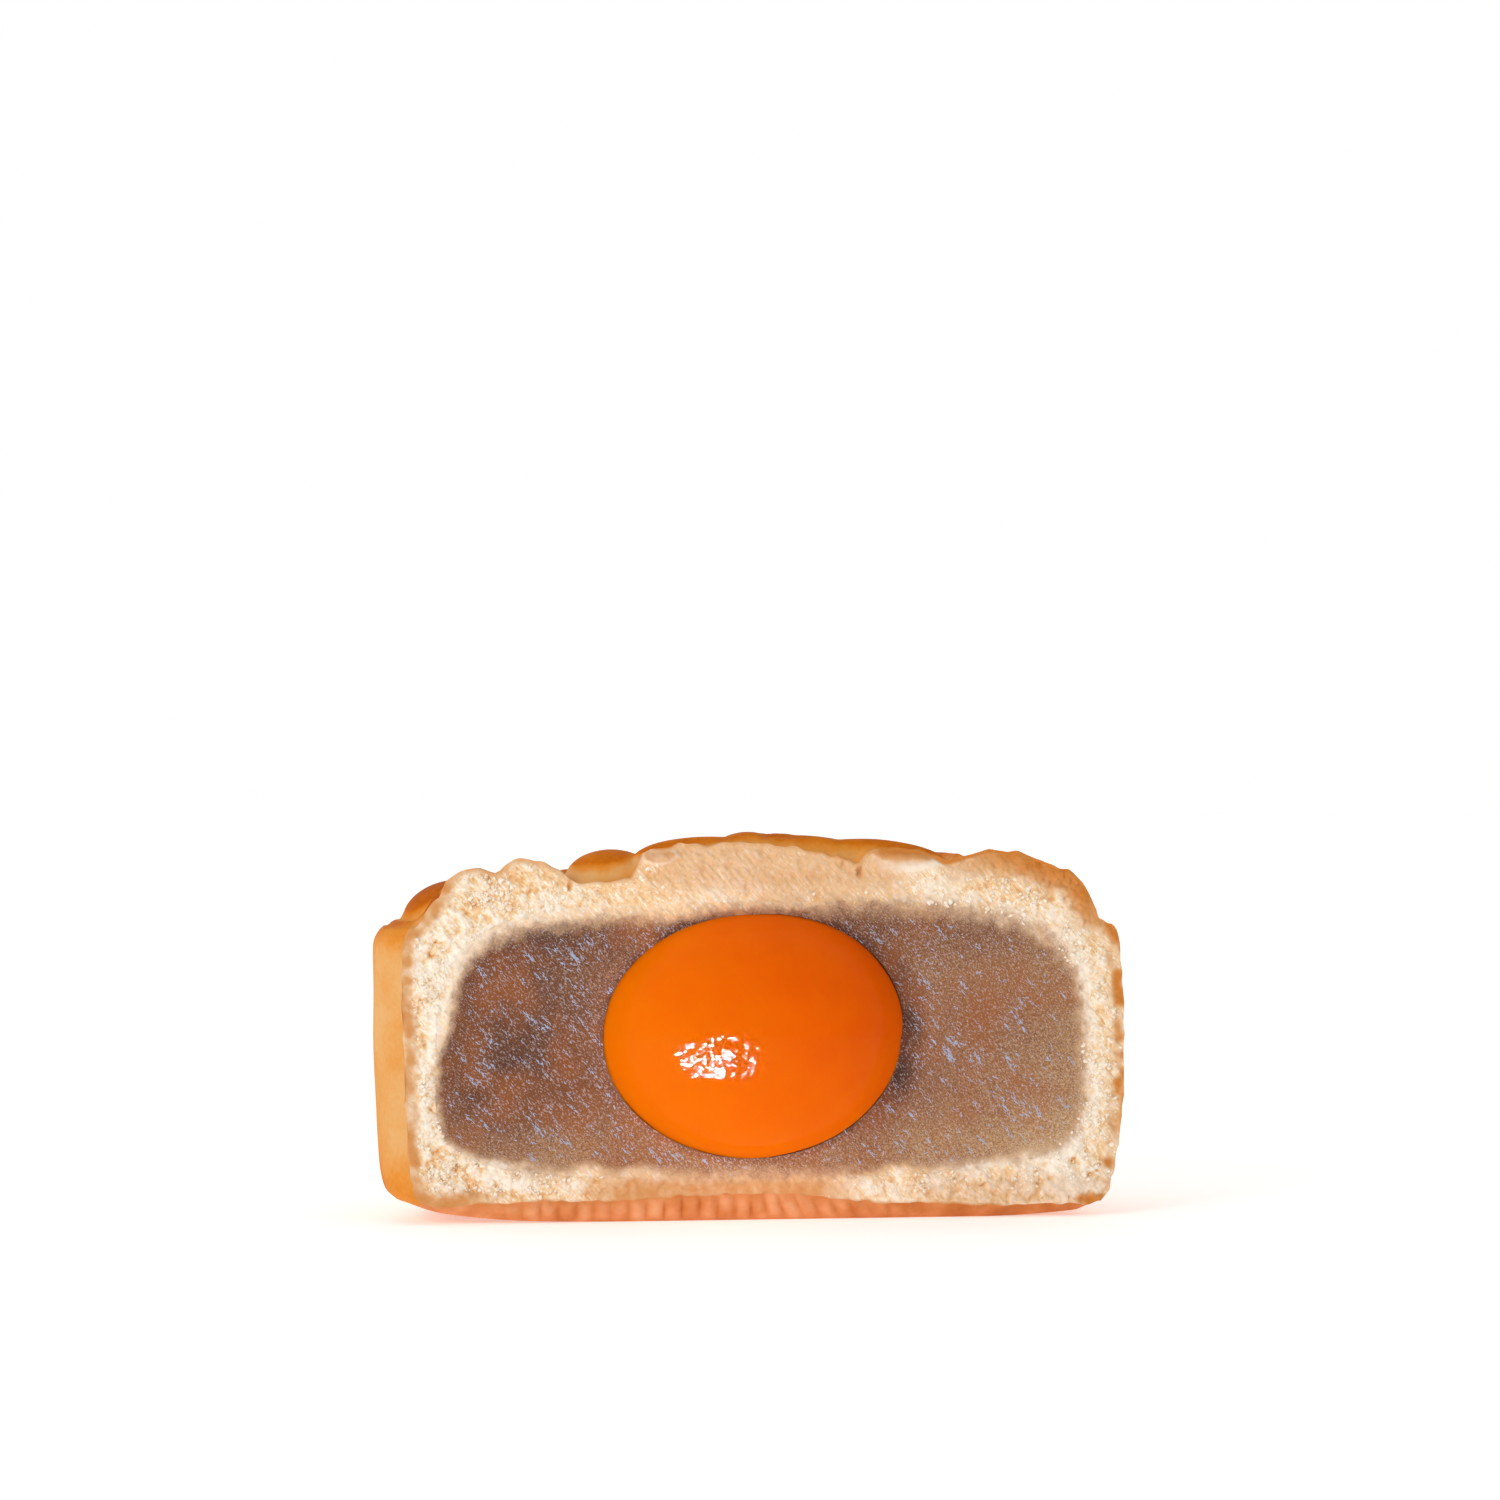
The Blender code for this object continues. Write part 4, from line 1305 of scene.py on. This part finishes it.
def loose_crumbs():
    """Crumbs where the section is broken up, with the colour values of the places they lie on."""
    x, z, inside = ring_points[:, 0], ring_points[:, 2], ring_values["inside"]
    heaped = ramp(noise(x, z, 1.5, 81), 0.3, 0.65)
    likely = (0.08 + crumbly(x, z) ** 1.5) * heaped * (1.0 - patch(x, z, SMOOTH_PUFF))
    likely = likely * (inside < 0.3) * ramp(z, 2.4, 3.2)
    likely = likely * ramp(ring_values["toast"], 0.35, 0.2)
    drawn = chance.choice(len(likely), CRUMB_COUNT, p=likely / likely.sum())
    centres = ring_points[drawn] + chance.uniform(-0.12, 0.12, (CRUMB_COUNT, 3))
    size = 0.07 + 0.2 * chance.random(CRUMB_COUNT) ** 3
    stretch = chance.uniform(0.6, 1.3, (CRUMB_COUNT, 1, 3)) * size[:, None, None]
    values = {key: ring_values[key][drawn] for key in ("toast", "shade")}
    values["rise"] = chance.uniform(0.05, 0.4, CRUMB_COUNT)
    values["inside"] = np.full(CRUMB_COUNT, -3.0)
    values["toast"] = 0.6 * values["toast"]
    points, faces = rough_lump()
    frames = any_turn(CRUMB_COUNT) * stretch
    return scattered("loose_crumbs", points, faces, frames, centres, values, section)


loose_crumbs()

# %% [markdown]
# ## Strands of bird's nest
# The nest is dried swiftlet saliva, which swells into clear jelly threads. Short ends of them show
# in the paste, up to a tenth of a millimetre thick. They look pale blue, and that blue is painted
# into their colour as a reflection of the white room. Flecks of colour alone would not catch the
# light, so these are real threads. They lean the way the knife moved and lie in tufts.

# %% Material: jelly strands


def jelly_strand():
    """Wet jelly with a skin of water: pale, with a clear gloss. Its slight blue is a painted
    reflection.
    """
    material, tree, shader = new_material("birds_nest_jelly", 0.22, 1.36, 0.3, 0.2)
    # The pale is the jelly's own colour; the blue in it is a painted reflection of the white room.
    feed(tree, shader, {"Base Color": linear("#B4C2E0")})
    return material


jelly = jelly_strand()
print("material:", jelly.name)

# %% Strands in the paste
STRAND_COUNT = 2600
TUFT_COUNT = 420
STRAND_SIDES = 5
AWAY_FROM_EDGES = slice(3, -4)


def spindle():
    """A thread that tapers to both ends, one unit long and one unit thick."""
    places, radii = (-0.5, -0.3, 0.0, 0.3, 0.5), (0.12, 0.4, 0.5, 0.38, 0.1)
    turns = np.arange(STRAND_SIDES) * 2.0 * math.pi / STRAND_SIDES
    rings = [
        np.column_stack((r * np.cos(turns), r * np.sin(turns), p + 0.0 * turns))
        for p, r in zip(places, radii)
    ]
    points = np.concatenate(rings + [[[0.0, 0.0, -0.52], [0.0, 0.0, 0.52]]])
    faces = []
    for k in range(STRAND_SIDES):
        after = (k + 1) % STRAND_SIDES
        faces.append((5 * STRAND_SIDES, after, k))
        faces.append((5 * STRAND_SIDES + 1, 4 * STRAND_SIDES + k, 4 * STRAND_SIDES + after))
        for ring in range(4):
            a, b = ring * STRAND_SIDES + k, ring * STRAND_SIDES + after
            faces.append((a, b, b + STRAND_SIDES))
            faces.append((a, b + STRAND_SIDES, a + STRAND_SIDES))
    return points, np.array(faces)


def nest_strands():
    """Tufts of leaning threads on the face of the paste, spread evenly over its area."""
    places = front_points[AWAY_FROM_EDGES, :-1]
    x, z = places[..., 0], places[..., 2]
    inside = front_values["inside"][AWAY_FROM_EDGES, :-1]
    (x_down, x_along), (z_down, z_along) = np.gradient(x), np.gradient(z)
    area = np.abs(x_down * z_along - z_down * x_along)
    likely = area * (0.4 + noise(x, z, 4.0, 91)) * ramp(inside, 0.4, 1.4)
    spots = chance.choice(likely.size, TUFT_COUNT, p=(likely / likely.sum()).ravel())
    tuft = (TUFT_COUNT * chance.random(STRAND_COUNT) ** 1.5).astype(int)
    loose = chance.uniform(0.3, 1.1, TUFT_COUNT)[tuft, None]
    stray = chance.normal(0.0, 1.0, (STRAND_COUNT, 2)) * (0.12, 0.6) * loose
    centres = places.reshape(-1, 3)[spots[tuft]]
    centres[:, 0] += stray[:, 0] * math.cos(LEAN) + stray[:, 1] * math.sin(LEAN)
    centres[:, 2] += stray[:, 1] * math.cos(LEAN) - stray[:, 0] * math.sin(LEAN)
    length = 0.14 + 0.36 * chance.random(STRAND_COUNT) ** 2
    thick = chance.uniform(0.05, 0.1, STRAND_COUNT)
    lean = LEAN + chance.normal(0.0, 0.35, STRAND_COUNT)
    frames = np.zeros((STRAND_COUNT, 3, 3))
    frames[:, 0, 0], frames[:, 0, 2] = thick * np.cos(lean), length * np.sin(lean)
    frames[:, 2, 0], frames[:, 2, 2] = -thick * np.sin(lean), length * np.cos(lean)
    frames[:, 1, 1] = thick
    return scattered("nest_strands", *spindle(), frames, centres, {}, jelly)


nest_strands()

# %% [markdown]
# ## The salted yolk
# A salted duck yolk turns firm and slightly clear, and its own oil coats it. Light goes a few
# millimetres in and comes back red-orange. The oil film is smooth but follows tiny dents, so the
# highlight breaks up. A bump in the coat could do that, but real dents in the mesh break it more
# crisply.

# %% Material: oily salted yolk
# The red end is painted shade on the right and top of the yolk, the bright orange end painted light
# on its left and lower side; cloud noise adds the yolk's own uneven tone.
YOLK_RAMP = ((0.2, "#DE5200"), (0.55, "#EB6500"), (0.85, "#EC7000"))
CLOUD_MM = 5.0


def oily_salted_yolk():
    """Firm fat-rich yolk: light scatters far inside it, and an oil film gives it a highlight."""
    material, tree, shader = new_material("oily_salted_yolk", 0.5, 1.4, 0.5, 1.6)
    place = add(tree, "ShaderNodeTexCoord", out="Object")
    tint = add(tree, "ShaderNodeAttribute", out="Fac", attribute_name="tint")
    spots = {"Vector": place, "Scale": 1 / (CLOUD_MM * MM), "Detail": 3.0}
    cloud = add(tree, "ShaderNodeTexNoise", spots)
    tone = add(tree, "ShaderNodeMath", {0: cloud, 1: 0.35, 2: tint}, operation="MULTIPLY_ADD")
    colour = add(tree, "ShaderNodeValToRGB", {"Fac": tone}, stops=YOLK_RAMP)
    feed(tree, shader, {"Base Color": colour, "Subsurface Radius": (1.0, 0.3, 0.06)})
    feed(tree, shader, {"Specular IOR Level": 0.0, "Coat Weight": 0.12, "Coat Roughness": 0.03})
    return material


yolk_skin = oily_salted_yolk()
print("material:", yolk_skin.name)

# %% The yolk
YOLK_ROUND = 460
YOLK_FRONT, YOLK_BACK = 160, 50
DENTED_SHARE = 0.28
DENT_MM, DENT_DEPTH = 0.6, 0.14
OIL_X, OIL_Z, OIL_HALF = -5.2, 16.5, 5.5


def yolk_patch():
    """An ellipsoid with its poles in front and behind, a little uneven, with fine dents."""
    front = np.linspace(0.0, DENTED_SHARE, YOLK_FRONT + 1)
    back = np.linspace(DENTED_SHARE, 1.0, YOLK_BACK + 1)
    tilt = math.pi * np.concatenate((front, back[1:]))[:, None]
    turns = np.linspace(0.0, 2.0 * math.pi, YOLK_ROUND + 1)
    turns[-1] = 0.0
    dx, dz = np.sin(tilt) * np.cos(turns), np.sin(tilt) * np.sin(turns)
    dy = -np.cos(tilt) + 0.0 * turns
    lumpy = noise(9.0 * dx + 4.0 * dy, 9.0 * dz - 3.0 * dy, 3.2, 71)
    uneven = 1.0 - 0.012 * lumpy * np.sin(tilt) ** 0.5
    uneven = uneven * (1.0 + (fuller(turns) - 1.0) * np.sin(tilt) ** 2)
    x, z = yolk_wide * dx * uneven, yolk_high * dz * uneven
    dents = noise(x, z, DENT_MM, 73) + 0.35 * noise(x, z, 0.5 * DENT_MM, 75) - 0.67
    oily = np.hypot(x + yolk_x - OIL_X, 1.6 * (z + yolk_z - OIL_Z))
    dents = dents * (0.1 + 0.9 * ramp(oily, OIL_HALF, 0.5 * OIL_HALF)) * (dy < -0.1)
    y = yolk_deep * dy - DENT_DEPTH * dents
    # Painted light: lighter on the left and lower side, redder and darker on the right and top.
    tint = 0.45 - 0.35 * dx - 0.2 * dz
    return np.stack((yolk_x + x, yolk_y + y, yolk_z + z), axis=-1), {"tint": tint}


yolk_points, yolk_values = yolk_patch()
yolk = closed_mesh("egg_yolk", [(*sheet(yolk_points), 0, yolk_values)], (yolk_skin,))
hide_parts("yolk")

# %% [markdown]
# ## Studio
# A white table that glows faintly, a bright even surround and a large soft lamp from the upper
# left. The surround lights the shadows, so they stay soft and warm. A lamp low at the left lights
# the yolk alone and gives it its glint.

# %% Floor and light
FLOOR_COLOUR = "#FBFAF8"
TABLE_GLOW = 0.36
SURROUND = (0.54, 1.0)
FLOOR_SIDE = 3.0
KEY_PLACE, KEY_AIM, KEY_SIZE = (-0.45, -0.47, 0.3), (0.0, 0.0, 0.02), (0.26, 0.26)
GLINT_PLACE, GLINT_AIM, GLINT_SIZE = (-0.160, -0.345, -0.115), (0.0, -0.01, 0.018), (0.23, 0.115)
KEY_WATTS, GLINT_WATTS = 1.75, 320.0


def lamp(name, place, aim, size, power, colour="#FFFFFF"):
    """A flat lamp of width by height metres, turned to face a point."""
    data = bpy.data.lights.new(name, "AREA")
    data.shape = "RECTANGLE"
    data.size, data.size_y = size
    data.energy = power
    data.color = linear(colour)[:3]
    obj = bpy.data.objects.new(name, data)
    obj.location = place
    obj.rotation_euler = (Vector(aim) - Vector(place)).to_track_quat("-Z", "Y").to_euler()
    bpy.context.collection.objects.link(obj)
    return obj


def white_table():
    """A wide flat table at the foot of the cake."""
    mesh = bpy.data.meshes.new("floor")
    corners = ((-1, -1), (1, -1), (1, 1), (-1, 1))
    corners = [(FLOOR_SIDE * a, FLOOR_SIDE * b, 0.0) for a, b in corners]
    mesh.from_pydata(corners, [], [(0, 1, 2, 3)])
    floor = bpy.data.objects.new("floor", mesh)
    floor.location.z = cad_low[2]
    bpy.context.collection.objects.link(floor)
    material, tree, shader = new_material("lit_white_table", 0.8, 1.5, 0.0, 1.0)
    white = linear(FLOOR_COLOUR)
    feed(tree, shader, {"Base Color": white, "Emission Color": white})
    feed(tree, shader, {"Emission Strength": TABLE_GLOW})
    mesh.materials.append(material)
    return floor


def surround():
    """An even white room, less bright where it faces the cut, so that the key lamp can shape it."""
    world = bpy.data.worlds.new("surround")
    world.use_nodes = True
    tree = world.node_tree
    way = add(tree, "ShaderNodeTexCoord", out="Generated")
    north = add(tree, "ShaderNodeSeparateXYZ", {0: way}, out="Y")
    limits = {"From Min": -0.2, "From Max": 0.8, "To Min": SURROUND[0], "To Max": SURROUND[1]}
    bright = add(tree, "ShaderNodeMapRange", {"Value": north, **limits})
    feed(tree, tree.nodes["Background"], {"Strength": bright, "Color": linear("#FFFFFF")})
    bpy.context.scene.world = world


floor = white_table()
surround()
key = lamp("key", KEY_PLACE, KEY_AIM, KEY_SIZE, KEY_WATTS, "#FFF8F0")
key.visible_glossy = False
glint = lamp("glint", GLINT_PLACE, GLINT_AIM, GLINT_SIZE, GLINT_WATTS)
glint.visible_diffuse = False
lit_by_glint = bpy.data.collections.new("lit_by_glint")
lit_by_glint.objects.link(yolk)
glint.light_linking.receiver_collection = lit_by_glint
floor.visible_shadow = False
print("floor at", round(floor.location.z, 4))

# %% [markdown]
# ## Camera
# The camera looks level at the cut, nine degrees from the left of straight on, from half a metre
# away. A long lens keeps the cake's lines almost parallel, as in a packshot.

# %% Camera
VIEW_YAW = math.radians(9.0)
VIEW_DISTANCE = 0.5
VIEW_AIM = (-1.19 * MM, CUT_Y * MM, 46.8 * MM)
SENSOR_MM, LENS_MM = 36.0, 120.7


def camera():
    """A long lens on a full-frame sensor, level with the cut."""
    data = bpy.data.cameras.new("camera")
    data.sensor_width, data.lens = SENSOR_MM, LENS_MM
    data.clip_start, data.clip_end = 0.01, 20.0
    obj = bpy.data.objects.new("camera", data)
    ahead = Vector((math.sin(VIEW_YAW), math.cos(VIEW_YAW), 0.0))
    obj.location = Vector(VIEW_AIM) - VIEW_DISTANCE * ahead
    obj.rotation_euler = ahead.to_track_quat("-Z", "Y").to_euler()
    bpy.context.collection.objects.link(obj)
    bpy.context.scene.camera = obj
    bpy.context.scene.view_settings.view_transform = "Standard"
    return obj


view = camera()
print("camera at", [round(v, 3) for v in view.location])
